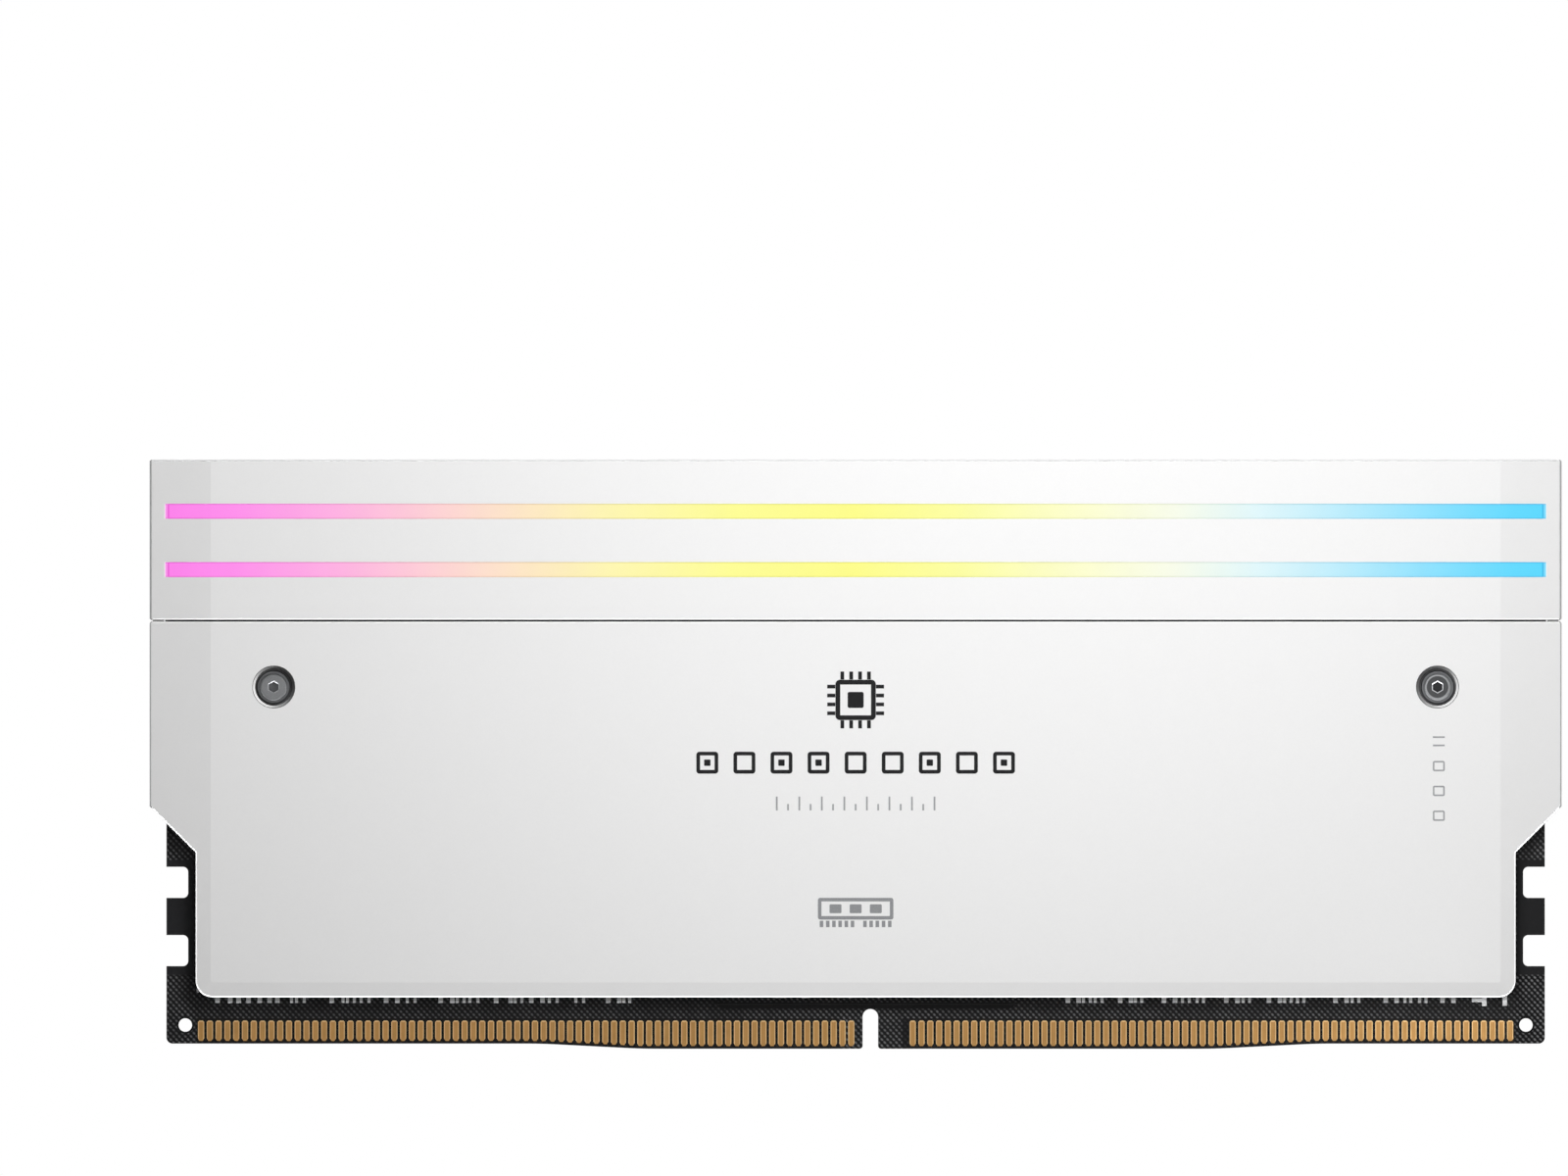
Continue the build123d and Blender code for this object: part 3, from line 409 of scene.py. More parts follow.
def board_mask():
    """Black solder mask over hatched copper that shows as dots; brown laminate edges."""
    m = Material("board_mask")
    dots = hatch_dots(m)
    weave = (m.noise(size=1.7).ease(over=(0.35, 0.65), onto=(0.60, 1.0))
             * m.x.ease(over=(-14.0, 0.0), onto=(0.68, 1.0)))

    # no hatching round the latch notches, behind the contacts, or in the long bay over the key
    side_x = abs(m.x)
    notches = m.z.rise(over=(7.10, 7.20)) * m.z.fall(over=(18.25, 18.35))
    notches = notches * side_x.rise(over=(63.9, 64.0))
    bay_x, bay_half, bay_top, bay_slope = 1.0, 14.9, 4.52, 1.6
    half = bay_half - (bay_top - m.z) * bay_slope
    bay = (abs(m.x - bay_x) - half).fall(over=(0.0, 0.06))
    bay = bay * (m.z.rise(over=(3.82, 3.90)) * m.z.fall(over=(4.48, 4.54)))
    trace_z = 4.29
    trace = bay * abs(m.z - trace_z).fall(over=(0.02, 0.05))
    hatched = notches.max(bay).complement()
    key_x = 1.45
    rows = side_x.fall(over=(63.72, 63.80)) * abs(m.x - key_x).rise(over=(3.0, 3.1))
    contacts = rows * 0.85 * m.z.fall(over=(2.92, 3.0))

    # clear rings near the bottom corners
    ring_x, ring_z = 64.85, 2.3
    ring_distance = ((side_x - ring_x) ** 2.0 + (m.z - ring_z) ** 2.0).sqrt()
    ring = (ring_distance.rise(over=(0.80, 0.86))
            * side_x.ease(over=(63.4, 64.4), onto=(0.80, 1.0)))
    dots = dots * hatched * (weave * ring)
    dots = dots * contacts.complement()

    grain = m.noise(size=0.09, roughness=0.6)
    lift = 1.15 + notches * m.x.ease(over=X_AXIS_SIDES, onto=(2.6, 1.1))
    mask = m.scaled((0.0042, 0.0042, 0.0046), grain.spread(low=0.75, high=1.3) * lift)
    face = m.mix(mask, towards=(0.26, 0.263, 0.269), amount=dots.max(trace * 0.16) * 0.90)

    # cut edges: layers of glass and resin
    layer_pitch = 0.16
    cut = abs(m.toward(Y_AXIS)).fall(over=(0.35, 0.6))
    layer = (m.y * (2 * math.pi / layer_pitch)).sine()
    fibre = m.noise(size=0.12, detail=3.0, roughness=0.6, stretch=(1.0, 0.15, 1.0))
    laminate = m.mix((0.030, 0.026, 0.021), towards=(0.085, 0.074, 0.055),
                     amount=(layer + fibre * 0.8).rise(over=(-0.4, 1.2)))
    m.set(Base_Color=m.mix(face, towards=laminate, amount=cut))

    mask_rough, dot_rough, cut_rough = (0.40,) * 3, (0.32,) * 3, (0.75,) * 3
    face_rough = m.mix(mask_rough, towards=dot_rough, amount=dots)
    corner = m.x.rise(over=(63.4, 64.4)) * m.z.fall(over=(6.9, 7.2))  # bottom corner at +x
    m.set(Roughness=m.mix(face_rough, towards=cut_rough, amount=cut),
          Specular_IOR_Level=0.16 - corner * 0.085)
    m.relief(dots * 1.0 + grain * 0.15, depth=0.012, strength=0.8, edge=0.05)
    return m.data


def gold():
    """Gold plated pads: paler rims as a painted highlight, wipe marks along the pad, slight
    tone change per pad.
    """
    m = Material("gold_plating")
    pad = (m.x - -FIRST_PAD_X * -1 if False else m.x + -FIRST_PAD_X) / PAD_PITCH + 0.5
    off_centre = abs((pad + 20.0).fraction() - 0.5) * PAD_PITCH
    # painted highlight: a paler rim round the sides and top of each pad
    rim = off_centre.rise(over=(0.185, 0.245))
    rim = rim.max(m.z.rise(over=(2.55, 2.66)))
    per_pad = m.signal("TexWhiteNoise", [("W", pad.floor())], "Value", noise_dimensions="1D")
    per_pad = per_pad.spread(low=0.97, high=1.03, over=(0.0, 1.0))
    wipe = m.noise(size=0.05, detail=3.0, roughness=0.6, stretch=(1.0, 1.0, 0.06))
    blot = m.noise(size=0.8, detail=3.0, roughness=0.6)
    tone = per_pad * (wipe.spread(low=0.93, high=1.06, over=(0.3, 0.7))
                      * blot.spread(low=0.96, high=1.04, over=(0.3, 0.7)))
    # painted light: the pads are lighter towards the -x end
    tone = tone * m.x.ease(over=(-62.0, -20.0), onto=(1.09, 1.0))
    face = m.scaled((0.575, 0.309, 0.102), tone)
    m.set(Base_Color=m.mix(face, towards=(0.98, 0.68, 0.33), amount=rim * 0.85),
          Metallic=0.76,
          Roughness=0.38 + wipe.spread(low=-0.05, high=0.07, over=(0.3, 0.7)))
    m.relief(wipe, depth=0.003, strength=0.5, edge=0.035)
    return m.data


def dark_steel(name, colour, roughness):
    """Dark nickel plated steel, turned: faint rings round each screw axis, with painted
    highlights and shade on heads and sockets.
    """
    m = Material(name)
    ring_pitch = 0.045
    radius = from_screw(m, abs(m.x))[2]
    rings = (radius * (2 * math.pi / ring_pitch)).sine()
    grain = m.noise(size=0.06, detail=3.0, roughness=0.6)
    tone = (rings.spread(low=-0.05, high=0.05, over=(-1.0, 1.0))
            + grain.spread(low=0.93, high=1.07, over=(0.3, 0.7)))
    edge_mask = m.edge_mask(radius=0.05, over=(0.03, 0.35), samples=8)

    # painted shade and highlight: heads at +x are darker, inside a paler ring
    right = m.x.rise(over=X_AXIS_SIDES)
    ring_highlight = radius.rise(over=(1.04, 1.12)) * radius.fall(over=(1.27, 1.31))
    shade = right * (radius.fall(over=(1.00, 1.10)) * 0.70 - ring_highlight * 0.35)
    # painted highlight: the edges are lightened
    base = m.mix(m.scaled(colour, tone * (1.0 - shade)),
                 towards=(0.62, 0.63, 0.65), amount=edge_mask * 0.65)

    # painted shade inside the socket, and a painted highlight on its chamfer, much stronger at
    # +x
    height = abs(m.y)
    socket = radius.fall(over=(0.56, 0.60)) * height.rise(over=(3.50, 3.54))
    inside = socket * height.fall(over=(3.845, 3.86))
    chamfer_highlight = radius.fall(over=(0.64, 0.67)) * (
        height.rise(over=(3.86, 3.87)) * height.fall(over=(3.912, 3.918)))
    inside_colour = m.mix((0.12, 0.122, 0.127), towards=SHADE_BLACK, amount=right)
    base = m.mix(base, towards=inside_colour, amount=inside * 0.92)
    base = m.mix(base, towards=(0.86, 0.87, 0.89),
                 amount=chamfer_highlight * m.x.ease(over=X_AXIS_SIDES, onto=(0.12, 0.90)))
    m.set(Base_Color=base, Metallic=0.95,
          Roughness=roughness + grain.spread(low=-0.05, high=0.07))
    m.relief(rings * 0.3 + grain, depth=0.003, strength=0.5, edge=0.03, samples=8)
    return m.data


def tin():
    """Matte tin, its tone changing along x, and darker upwards as painted shade under the heat
    spreader.
    """
    m = Material("matte_tin")
    grain = m.noise(size=0.05, detail=3.0, roughness=0.65)
    # tone along x; painted shade: darker towards the top, under the heat spreader
    place = (m.x.ease(over=(59.25, 59.35), onto=(0.70, 1.14))
             * m.z.ease(over=(4.47, 4.72), onto=(1.45, 0.95)))
    m.set(Base_Color=m.scaled((0.84, 0.845, 0.855), grain.spread(low=0.84, high=1.12) * place),
          Metallic=0.75, Roughness=grain.spread(low=0.36, high=0.55))
    m.relief(grain, depth=0.006, strength=0.6, edge=0.06)
    return m.data


def ceramic():
    """Brown capacitor body."""
    m = Material("capacitor_ceramic")
    grain = m.noise(size=0.06, detail=4.0, roughness=0.65)
    m.set(Base_Color=m.mix((0.20, 0.135, 0.085), towards=(0.34, 0.24, 0.16), amount=grain),
          Roughness=grain.spread(low=0.40, high=0.58))
    m.relief(grain, depth=0.005, strength=0.6, edge=0.03)
    return m.data


def epoxy():
    """Moulded black epoxy with a fine spark texture."""
    m = Material("chip_moulding")
    grain = m.noise(size=0.05, detail=4.0, roughness=0.7)
    flow = m.noise(size=3.5, detail=3.0)
    base = m.mix((0.022, 0.022, 0.024), towards=(0.052, 0.052, 0.056), amount=grain)
    edge_mask = m.edge_mask(radius=0.06)
    m.set(Base_Color=m.mix(base, towards=(0.11, 0.11, 0.115), amount=edge_mask * 0.4),
          Roughness=flow.spread(low=0.52, high=0.68))
    m.relief(grain, depth=0.008, strength=0.6, edge=0.04)
    return m.data


def ferrite():
    """Dark grey inductor body, grained in small cells."""
    m = Material("inductor_ferrite")
    cells = m.cells(size=0.09)
    m.set(Base_Color=m.mix((0.13, 0.13, 0.14), towards=(0.055, 0.055, 0.06), amount=cells),
          Metallic=0.25, Roughness=m.noise(size=0.3).spread(low=0.5, high=0.7))
    m.relief(cells, depth=0.01, strength=0.5, edge=0.05)
    return m.data


def nylon():
    """Black connector plastic, streaked along x."""
    m = Material("connector_plastic")
    grain = m.noise(size=0.10, detail=4.0, roughness=0.6)
    streak = m.noise(size=0.8, detail=3.0, roughness=0.6, stretch=(0.2, 1.0, 1.0))
    base = m.mix((0.020, 0.020, 0.022), towards=(0.036, 0.036, 0.039), amount=streak)
    edge_mask = m.edge_mask(radius=0.10)
    m.set(Base_Color=m.mix(base, towards=(0.10, 0.10, 0.105), amount=edge_mask * 0.5),
          Roughness=grain.spread(low=0.42, high=0.60))
    m.relief(grain, depth=0.010, strength=0.5, edge=0.08)
    return m.data


def silicone():
    """Soft grey-blue thermal pad with filler grains and pressed-in pits."""
    m = Material("thermal_pad")
    grain = m.noise(size=0.14, detail=4.0, roughness=0.7)
    pits = m.cells(size=0.45).rise(over=(0.0, 0.5))
    m.set(Base_Color=m.mix((0.24, 0.29, 0.35), towards=(0.40, 0.45, 0.52), amount=grain),
          Roughness=0.82, Specular_IOR_Level=0.25)
    m.relief(grain * 0.5 + pits, depth=0.03, strength=0.6, edge=0.12)
    return m.data


def label_film():
    """Pale label film with a fine fibre."""
    m = Material("label_film")
    fibre = m.noise(size=0.09, detail=3.0, roughness=0.6)
    facing = m.facing()
    m.set(Base_Color=m.scaled((0.74, 0.745, 0.755), fibre.spread(low=0.97, high=1.03)),
          Roughness=m.noise(size=3.0).spread(low=0.34, high=0.46),
          Metallic=facing * 0.15, Specular_IOR_Level=facing * 0.5)
    m.relief(fibre, depth=0.003, strength=0.5, edge=0.04)
    return m.data


def standoff_steel():
    """Bright turned steel."""
    m = Material("standoff_steel")
    turning = m.noise(size=0.05, stretch=(1.0, 6.0, 1.0))
    m.set(Base_Color=m.scaled((0.56, 0.565, 0.575), turning.spread(low=0.88, high=1.08)),
          Metallic=1.0, Roughness=turning.spread(low=0.26, high=0.42))
    m.relief(turning, depth=0.004, strength=0.5, edge=0.05)
    return m.data


def linear_colour(*display):
    """Display values (0..255) to a linear RGBA colour."""
    levels = (v / 255.0 for v in display)
    return (*(v / 12.92 if v <= 0.04045 else ((v + 0.055) / 1.055) ** 2.4 for v in levels), 1.0)


# the lit bar's colours, pink through yellow to cyan: x, then display red, green, blue
BAR_COLOURS = [
    (-66.5, 253, 130, 236), (-60, 255, 144, 237), (-50, 255, 178, 227), (-36, 254, 224, 207),
    (-24, 255, 247, 179), (-12, 255, 254, 150), (0, 255, 254, 140), (10, 254, 255, 163),
    (22, 254, 255, 209), (31, 249, 253, 236), (39, 225, 248, 252), (50, 173, 234, 254),
    (55, 144, 227, 255), (60, 117, 222, 255), (63.5, 100, 219, 255), (66.5, 93, 218, 255),
]
BAR_START, BAR_END = -68.0, 68.0  # x range of the colour ramp


def bar_colour(m):
    """Colour ramp along the bar."""
    length = BAR_END - BAR_START
    ramp = m.add("ValToRGB", [(0, (m.x - BAR_START) / length)])
    stops = ramp.color_ramp.elements
    ramp.color_ramp.interpolation = "LINEAR"
    for i, (x, *display) in enumerate(BAR_COLOURS):
        place = (x - BAR_START) / length
        stop = stops[i] if i < 2 else stops.new(place)  # a new ramp already has two stops
        stop.position = place
        stop.color = linear_colour(*display)
    return Signal(m, ramp.outputs[0])


def light_diffuser():
    """Milky light guide lit from inside, dimmer towards the walls of its slots as painted
    shadow, its ends paler as a painted reflection.
    """
    m = Material("light_diffuser")
    colour = bar_colour(m)
    upper, lower = SLOT_Z
    off_middle = abs(m.z - upper).min(abs(m.z - lower))
    rim = off_middle.rise(over=(0.58, 0.69))
    side_x = abs(m.x)
    line_inner, line_outer = (66.38, 66.46), (66.52, 66.60)  # thin line near each end
    line = side_x.rise(over=line_inner) * side_x.fall(over=line_outer)
    end = side_x.rise(over=line_outer)
    cloud = m.noise(size=2.2, detail=3.0, roughness=0.55)
    grain = m.noise(size=0.10)
    shade = rim.max(line * 0.9)
    # painted shadow of the slot edges: near the walls the light is deeper in colour and dimmer;
    # the line near each end is darkened the same way
    squared = m.mix(colour, towards=colour, amount=1.0, mode="MULTIPLY")
    deeper = m.mix(colour, towards=squared, amount=0.55)
    colour = m.mix(colour, towards=deeper, amount=shade)
    level = 1.0 - shade * 0.16
    level = level * cloud.spread(low=0.985, high=1.012, over=(0.25, 0.75))
    level = level * grain.spread(low=0.992, high=1.008, over=(0.25, 0.75))
    # painted reflection off the slot's end walls: the ends are paler
    lit = m.scaled(m.mix(colour, towards=(0.93, 0.93, 0.95), amount=end * 0.12), level)
    m.set(Base_Color=(0.008, 0.008, 0.008, 1), Roughness=0.5,
          Specular_IOR_Level=m.facing() * 0.12, Emission_Color=lit, Emission_Strength=0.985)
    m.relief(grain, depth=0.004, strength=0.4)
    return m.data


def led_lens():
    """Pale yellow lens."""
    m = Material("led_lens")
    grain = m.noise(size=0.12, detail=3.0, roughness=0.6)
    m.set(Base_Color=m.mix((0.80, 0.78, 0.66), towards=(0.93, 0.92, 0.86), amount=grain),
          Roughness=0.28, Coat_Weight=0.3)
    m.relief(grain, depth=0.004, strength=0.5, edge=0.05)
    return m.data


def ink(name, colour):
    """Screen print: a slightly uneven film."""
    m = Material(name)
    mesh = m.noise(size=0.13, detail=3.0, roughness=0.6)
    m.set(Base_Color=m.scaled(colour, mesh.spread(low=0.86, high=1.16)),
          Roughness=mesh.spread(low=0.45, high=0.62), Specular_IOR_Level=m.facing() * 0.35)
    m.relief(mesh, depth=0.003, strength=0.6)
    return m.data


FINISH = {
    "white_paint": white_paint(),
    "board_mask": board_mask(),
    "gold": gold(),
    "chip_moulding": epoxy(),
    "inductor_ferrite": ferrite(),
    "capacitor_ceramic": ceramic(),
    "tin": tin(),
    "connector_plastic": nylon(),
    "thermal_pad": silicone(),
    "label_film": label_film(),
    "standoff_steel": standoff_steel(),
    "dark_steel": dark_steel("dark_steel", colour=(0.20, 0.204, 0.212), roughness=0.36),
    "light_diffuser": light_diffuser(),
    "led_lens": led_lens(),
}
SCREW_FINISH = dark_steel("screw_steel", colour=(0.30, 0.305, 0.313), roughness=0.33)
INK_BLACK = ink("ink_black", colour=(0.012, 0.012, 0.013))
INK_GREY = ink("ink_grey", colour=(0.30, 0.305, 0.315))
INK_PALE = ink("ink_pale_grey", colour=(0.36, 0.365, 0.375))

for part in frame["record"]["subparts"]:
    node = nodes[part["node"]]
    node.data.materials.clear()
    node.data.materials.append(FINISH[part["material_slot"]])


def add_piece(name, verts, faces, material, body, smooth_angle=None):
    """Add a mesh object that rides on a body. smooth_angle is in degrees."""
    mesh = bpy.data.meshes.new(name)
    mesh.from_pydata(verts, [], faces)
    mesh.update()
    mesh.validate()
    piece = bpy.data.objects.new(name, mesh)
    scene.collection.objects.link(piece)
    mesh.materials.append(material)
    if smooth_angle is not None:
        for polygon in mesh.polygons:
            polygon.use_smooth = True
        mesh.set_sharp_from_angle(angle=math.radians(smooth_angle))
    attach(piece, body)
    return piece


# ---------------------------------------------------------------------------
# Socket head clamp screws
# ---------------------------------------------------------------------------
SCREW_SEGMENTS = 96
SOCKET_FLATS = 0.94  # across the flats
HEAD_RADIUS, HEAD_FILLET, FILLET_STEPS = 1.30, 0.11, 6
THREAD_PITCH, THREAD_STEPS = 0.35, 14  # steps per turn
CREST_RADIUS, ROOT_RADIUS = 0.80, 0.60
THREAD_MARGIN = 0.12  # plain length at each end of the shank
ANGLES = [2 * math.pi * i / SCREW_SEGMENTS for i in range(SCREW_SEGMENTS)]


def circle(radius):
    return [radius] * SCREW_SEGMENTS


def hexagon(flats, scale=1.0, extra=0.0):
    """Radii of a hexagon with corners up and down, scaled and then widened by extra."""
    sector = math.pi / 3
    turns = [(t - math.pi / 2) % sector - sector / 2 for t in ANGLES]
    return [flats / 2 / math.cos(turn) * scale + extra for turn in turns]


def head_rings(head):
    """(radii, depth below the top) from the socket's floor over the head to its underside."""
    rings = [
        (circle(0.10), 0.36),
        (hexagon(SOCKET_FLATS, scale=0.86), 0.35),
        (hexagon(SOCKET_FLATS - 0.04), 0.31),
        (hexagon(SOCKET_FLATS - 0.04), 0.075),
        (hexagon(SOCKET_FLATS - 0.02), 0.062),
        (hexagon(SOCKET_FLATS + 0.13), 0.0),
        (hexagon(SOCKET_FLATS, scale=0.4, extra=0.40), 0.0),
    ]
    rings += [(circle(radius), 0.0) for radius in (0.80, 0.98, 1.12)]
    for k in range(FILLET_STEPS + 1):
        a = math.pi / 2 * k / FILLET_STEPS
        radius = HEAD_RADIUS - HEAD_FILLET + HEAD_FILLET * math.sin(a)
        rings.append((circle(radius), HEAD_FILLET - HEAD_FILLET * math.cos(a)))
    underside = [  # radius, depth below the seat
        (HEAD_RADIUS, -0.05), (HEAD_RADIUS - 0.015, -0.015), (HEAD_RADIUS - 0.05, 0.0),
        (0.95, 0.0), (0.76, 0.0), (0.70, 0.03), (ROOT_RADIUS + 0.02, 0.10),
    ]
    return rings + [(circle(radius), head + depth) for radius, depth in underside]


def thread_radius(angle, depth, length):
    """Radius of the thread at a depth below the seat, fading out at both ends."""
    turn = (depth / THREAD_PITCH - angle / (2 * math.pi)) % 1.0
    profile = 1 - abs(2 * turn - 1)  # 0 at the root, 1 at the crest
    profile = min(max((profile - 0.12) / 0.76, 0.0), 1.0)  # flattened root and crest
    fade_in = min(1.0, max(0.0, (depth - THREAD_MARGIN) / 0.35))
    fade_out = min(1.0, max(0.0, (length - 0.10 - depth) / 0.22))
    return ROOT_RADIUS + (CREST_RADIUS - ROOT_RADIUS) * profile * fade_in * fade_out


def shank_rings(head, length):
    """(radii, depth below the top) down the threaded shank to its tip."""
    step = THREAD_PITCH / THREAD_STEPS
    rings = []
    for k in range(int(THREAD_MARGIN / step), int((length - THREAD_MARGIN) / step) + 1):
        depth = k * step
        rings.append(([thread_radius(t, depth, length) for t in ANGLES], head + depth))
    tip = [(ROOT_RADIUS - 0.02, -0.06), (ROOT_RADIUS - 0.10, 0.0), (0.12, 0.0)]
    return rings + [(circle(radius), head + length + depth) for radius, depth in tip]


def screw_mesh(x, z, side, seat, top, shank_end):
    """Screw along y on the axis (x, z). seat, top and shank_end are distances from y = 0."""
    n = SCREW_SEGMENTS
    head = top - seat
    rings = head_rings(head) + shank_rings(head, seat - shank_end)
    verts = [
        ((x + r * math.cos(t)) * MM, side * (top - depth) * MM, (z + r * math.sin(t)) * MM)
        for radii, depth in rings
        for t, r in zip(ANGLES, radii)
    ]
    faces = []
    for ring in range(len(rings) - 1):
        near, far = ring * n, (ring + 1) * n
        for i in range(n):
            j = (i + 1) % n
            quad = (near + i, near + j, far + j, far + i)
            faces.append(quad if side == FRONT else quad[::-1])
    first = tuple(range(n))
    last = tuple(range((len(rings) - 1) * n, len(rings) * n))
    faces += [first[::-1], last] if side == FRONT else [first, last[::-1]]
    return verts, faces


for face, side in (("front", FRONT), ("back", BACK)):
    for hand in ("left", "right"):
        node = f"screw_{face}_{hand}"
        lo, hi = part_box(node)
        washer_lo, washer_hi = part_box(f"washer_{face}_{hand}")
        verts, faces = screw_mesh(
            x=(lo.x + hi.x) / 2 / MM,
            z=(lo.z + hi.z) / 2 / MM,
            side=side,
            seat=max(abs(washer_lo.y), abs(washer_hi.y)) / MM,
            top=max(abs(lo.y), abs(hi.y)) / MM,
            shank_end=min(abs(lo.y), abs(hi.y)) / MM,
        )
        screw = add_piece(f"clamp_screw_{face}_{hand}", verts, faces, SCREW_FINISH, node,
                          smooth_angle=38)
        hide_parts(node)


# ---------------------------------------------------------------------------
# Printed marks: thin closed films on the front and on the back label
# ---------------------------------------------------------------------------
class Film:
    """Flat shapes as thin prisms. Points are (u, z); u runs to the reader's right."""

    RAISED, SUNK = 0.012, -0.004  # outer and inner faces, from the printed surface
    CORNER_STEPS = 6

    def __init__(self, surface_y, side):
        self.surface_y = surface_y
        self.side = side
        self.verts = []
        self.faces = []

    def layer(self, points, depth):
        start = len(self.verts)
        y = self.side * (self.surface_y + depth) * MM
        for u, z in points:
            self.verts.append(((u if self.side == FRONT else -u) * MM, y, z * MM))
        return list(range(start, len(self.verts)))

    def prism(self, points):
        top, bottom = self.layer(points, self.RAISED), self.layer(points, self.SUNK)
        self.faces += [tuple(top), tuple(bottom[::-1])]
        for i in range(len(points)):
            j = (i + 1) % len(points)
            self.faces.append((top[i], bottom[i], bottom[j], top[j]))

    def ring(self, outer, inner):
        outer_top, inner_top = self.layer(outer, self.RAISED), self.layer(inner, self.RAISED)
        outer_low, inner_low = self.layer(outer, self.SUNK), self.layer(inner, self.SUNK)
        for i in range(len(outer)):
            j = (i + 1) % len(outer)
            self.faces += [
                (outer_top[i], outer_top[j], inner_top[j], inner_top[i]),
                (outer_low[j], outer_low[i], inner_low[i], inner_low[j]),
                (outer_top[i], outer_low[i], outer_low[j], outer_top[j]),
                (inner_top[j], inner_low[j], inner_low[i], inner_top[i]),
            ]

    def outline(self, u, z, width, height, corner):
        """Rectangle centred on (u, z), its corners rounded if corner is above zero."""
        steps = self.CORNER_STEPS if corner else 0
        points = []
        for su, sz, start in ((1, 1, 0), (-1, 1, 90), (-1, -1, 180), (1, -1, 270)):
            for i in range(steps + 1):
                a = math.radians(start + (90 * i / steps if steps else 0))
                points.append((u + su * (width / 2 - corner) + corner * math.cos(a),
                               z + sz * (height / 2 - corner) + corner * math.sin(a)))
        return points

    def box(self, u, z, width, height, corner=0.0):
        self.prism(self.outline(u, z, width, height, corner))

    def frame(self, u, z, width, height, stroke, corner):
        inner_corner = max(corner - stroke, 0.02)
        self.ring(self.outline(u, z, width, height, corner),
                  self.outline(u, z, width - 2 * stroke, height - 2 * stroke, inner_corner))

    def make(self, name, material):
        mesh = add_piece(name, self.verts, self.faces, material, "module").data
        work = bmesh.new()
        work.from_mesh(mesh)
        bmesh.ops.recalc_face_normals(work, faces=work.faces)
        work.to_mesh(mesh)
        work.free()


front_y = abs(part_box("heat_spreader_front")[0].y) / MM


def mark_chip():
    """Chip pictogram: a framed square with four legs on each side."""
    z, leg_pitch, leg_offset = 33.75, 0.86, 2.36
    film = Film(front_y, FRONT)
    film.frame(0, z, width=3.9, height=3.9, stroke=0.46, corner=0.42)
    film.box(0, z, width=1.55, height=1.55, corner=0.18)
    for k in range(4):
        along = (k - 1.5) * leg_pitch
        for sign in (-1, 1):
            film.box(along, z + sign * leg_offset, width=0.36, height=0.78)
            film.box(sign * leg_offset, z + along, width=0.78, height=0.36)
    film.make("mark_chip", INK_BLACK)


def mark_cells():
    """A row of memory cells, some set and some clear."""
    z, half_row = 27.68, 14.35
    film = Film(front_y, FRONT)
    for k, is_set in enumerate((1, 0, 1, 1, 0, 0, 1, 0, 1)):
        u = -half_row + k * half_row / 4
        film.frame(u, z, width=2.12, height=2.12, stroke=0.36, corner=0.30)
        if is_set:
            film.box(u, z, width=0.62, height=0.62, corner=0.08)
    film.make("mark_cells", INK_BLACK)


def mark_scale():
    """A fine scale of long and short ticks, standing on one line."""
    foot_z, half_row, ticks = 23.06, 7.63, 15
    film = Film(front_y, FRONT)
    for k in range(ticks):
        height = 1.34 if k % 2 == 0 else 0.62
        u = -half_row + k * 2 * half_row / (ticks - 1)
        film.box(u, foot_z + height / 2, width=0.17, height=height)
    film.make("mark_scale", INK_PALE)


def mark_module():
    """Module pictogram: a frame, three chips and a row of contacts with a gap."""
    z, contact_z, gap = 13.55, 12.08, 6
    film = Film(front_y, FRONT)
    film.frame(0, z, width=7.3, height=2.1, stroke=0.34, corner=0.22)
    for k in range(3):
        film.box((k - 1) * 1.95, z, width=1.15, height=0.86, corner=0.10)
    for k in range(12):
        if k != gap:
            film.box(-3.3 + k * 0.6, contact_z, width=0.34, height=0.62)
    film.make("mark_module", INK_GREY)


def mark_column():
    """Two dashes and three frames in a column under the right screw."""
    u, width = 56.42, 1.15
    film = Film(front_y, FRONT)
    for z in (30.15, 29.35):
        film.box(u, z, width, height=0.16)
    for z in (27.35, 24.95, 22.55):
        film.frame(u, z, width, height=1.0, stroke=0.15, corner=0.16)
    film.make("mark_column", INK_PALE)


# widths of the label's bars and gaps in turn, in bar units
BAR_WIDTHS = (3, 1, 2, 1, 1, 3, 2, 1, 1, 2, 3, 1, 1, 1, 2, 2, 1,
              3, 1, 2, 1, 1, 3, 1, 2, 2, 1, 1, 3, 2, 1, 2, 1, 3)
BAR_UNIT = 0.16


def mark_label():
    """Back label: blank fields, rules and a row of plain bars that encode nothing."""
    label_lo, label_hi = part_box("label_back")
    z = (label_lo.z + label_hi.z) / 2 / MM
    line_pitch = 2.3
    film = Film(label_hi.y / MM, BACK)
    film.frame(0, z, width=50.2, height=18.2, stroke=0.22, corner=0.5)
    film.box(0, z + 4.2, width=50.0, height=0.16)
    film.box(-6.5, z - 2.5, width=0.16, height=13.2)
    start = 0.0
    for k, units in enumerate(BAR_WIDTHS):
        width = units * BAR_UNIT
        if k % 2 == 0:
            film.box(-23.3 + start + width / 2, z - 2.4, width, height=7.6)
        start += width + BAR_UNIT
    for k in range(5):
        film.box(9.0, z + 2.2 - k * line_pitch, width=26.0, height=0.14)
    for k, width in enumerate((12.0, 20.0, 9.0, 16.0)):
        film.box(-4.0 + width / 2, z + 1.1 - k * line_pitch, width, height=0.95, corner=0.2)
    for k in range(6):
        film.frame(-21.5 + k * 4.2, z + 6.7, width=2.6, height=2.6, stroke=0.24, corner=0.4)
    film.make("mark_label", INK_GREY)


mark_chip()
mark_cells()
mark_scale()
mark_module()
mark_column()
mark_label()


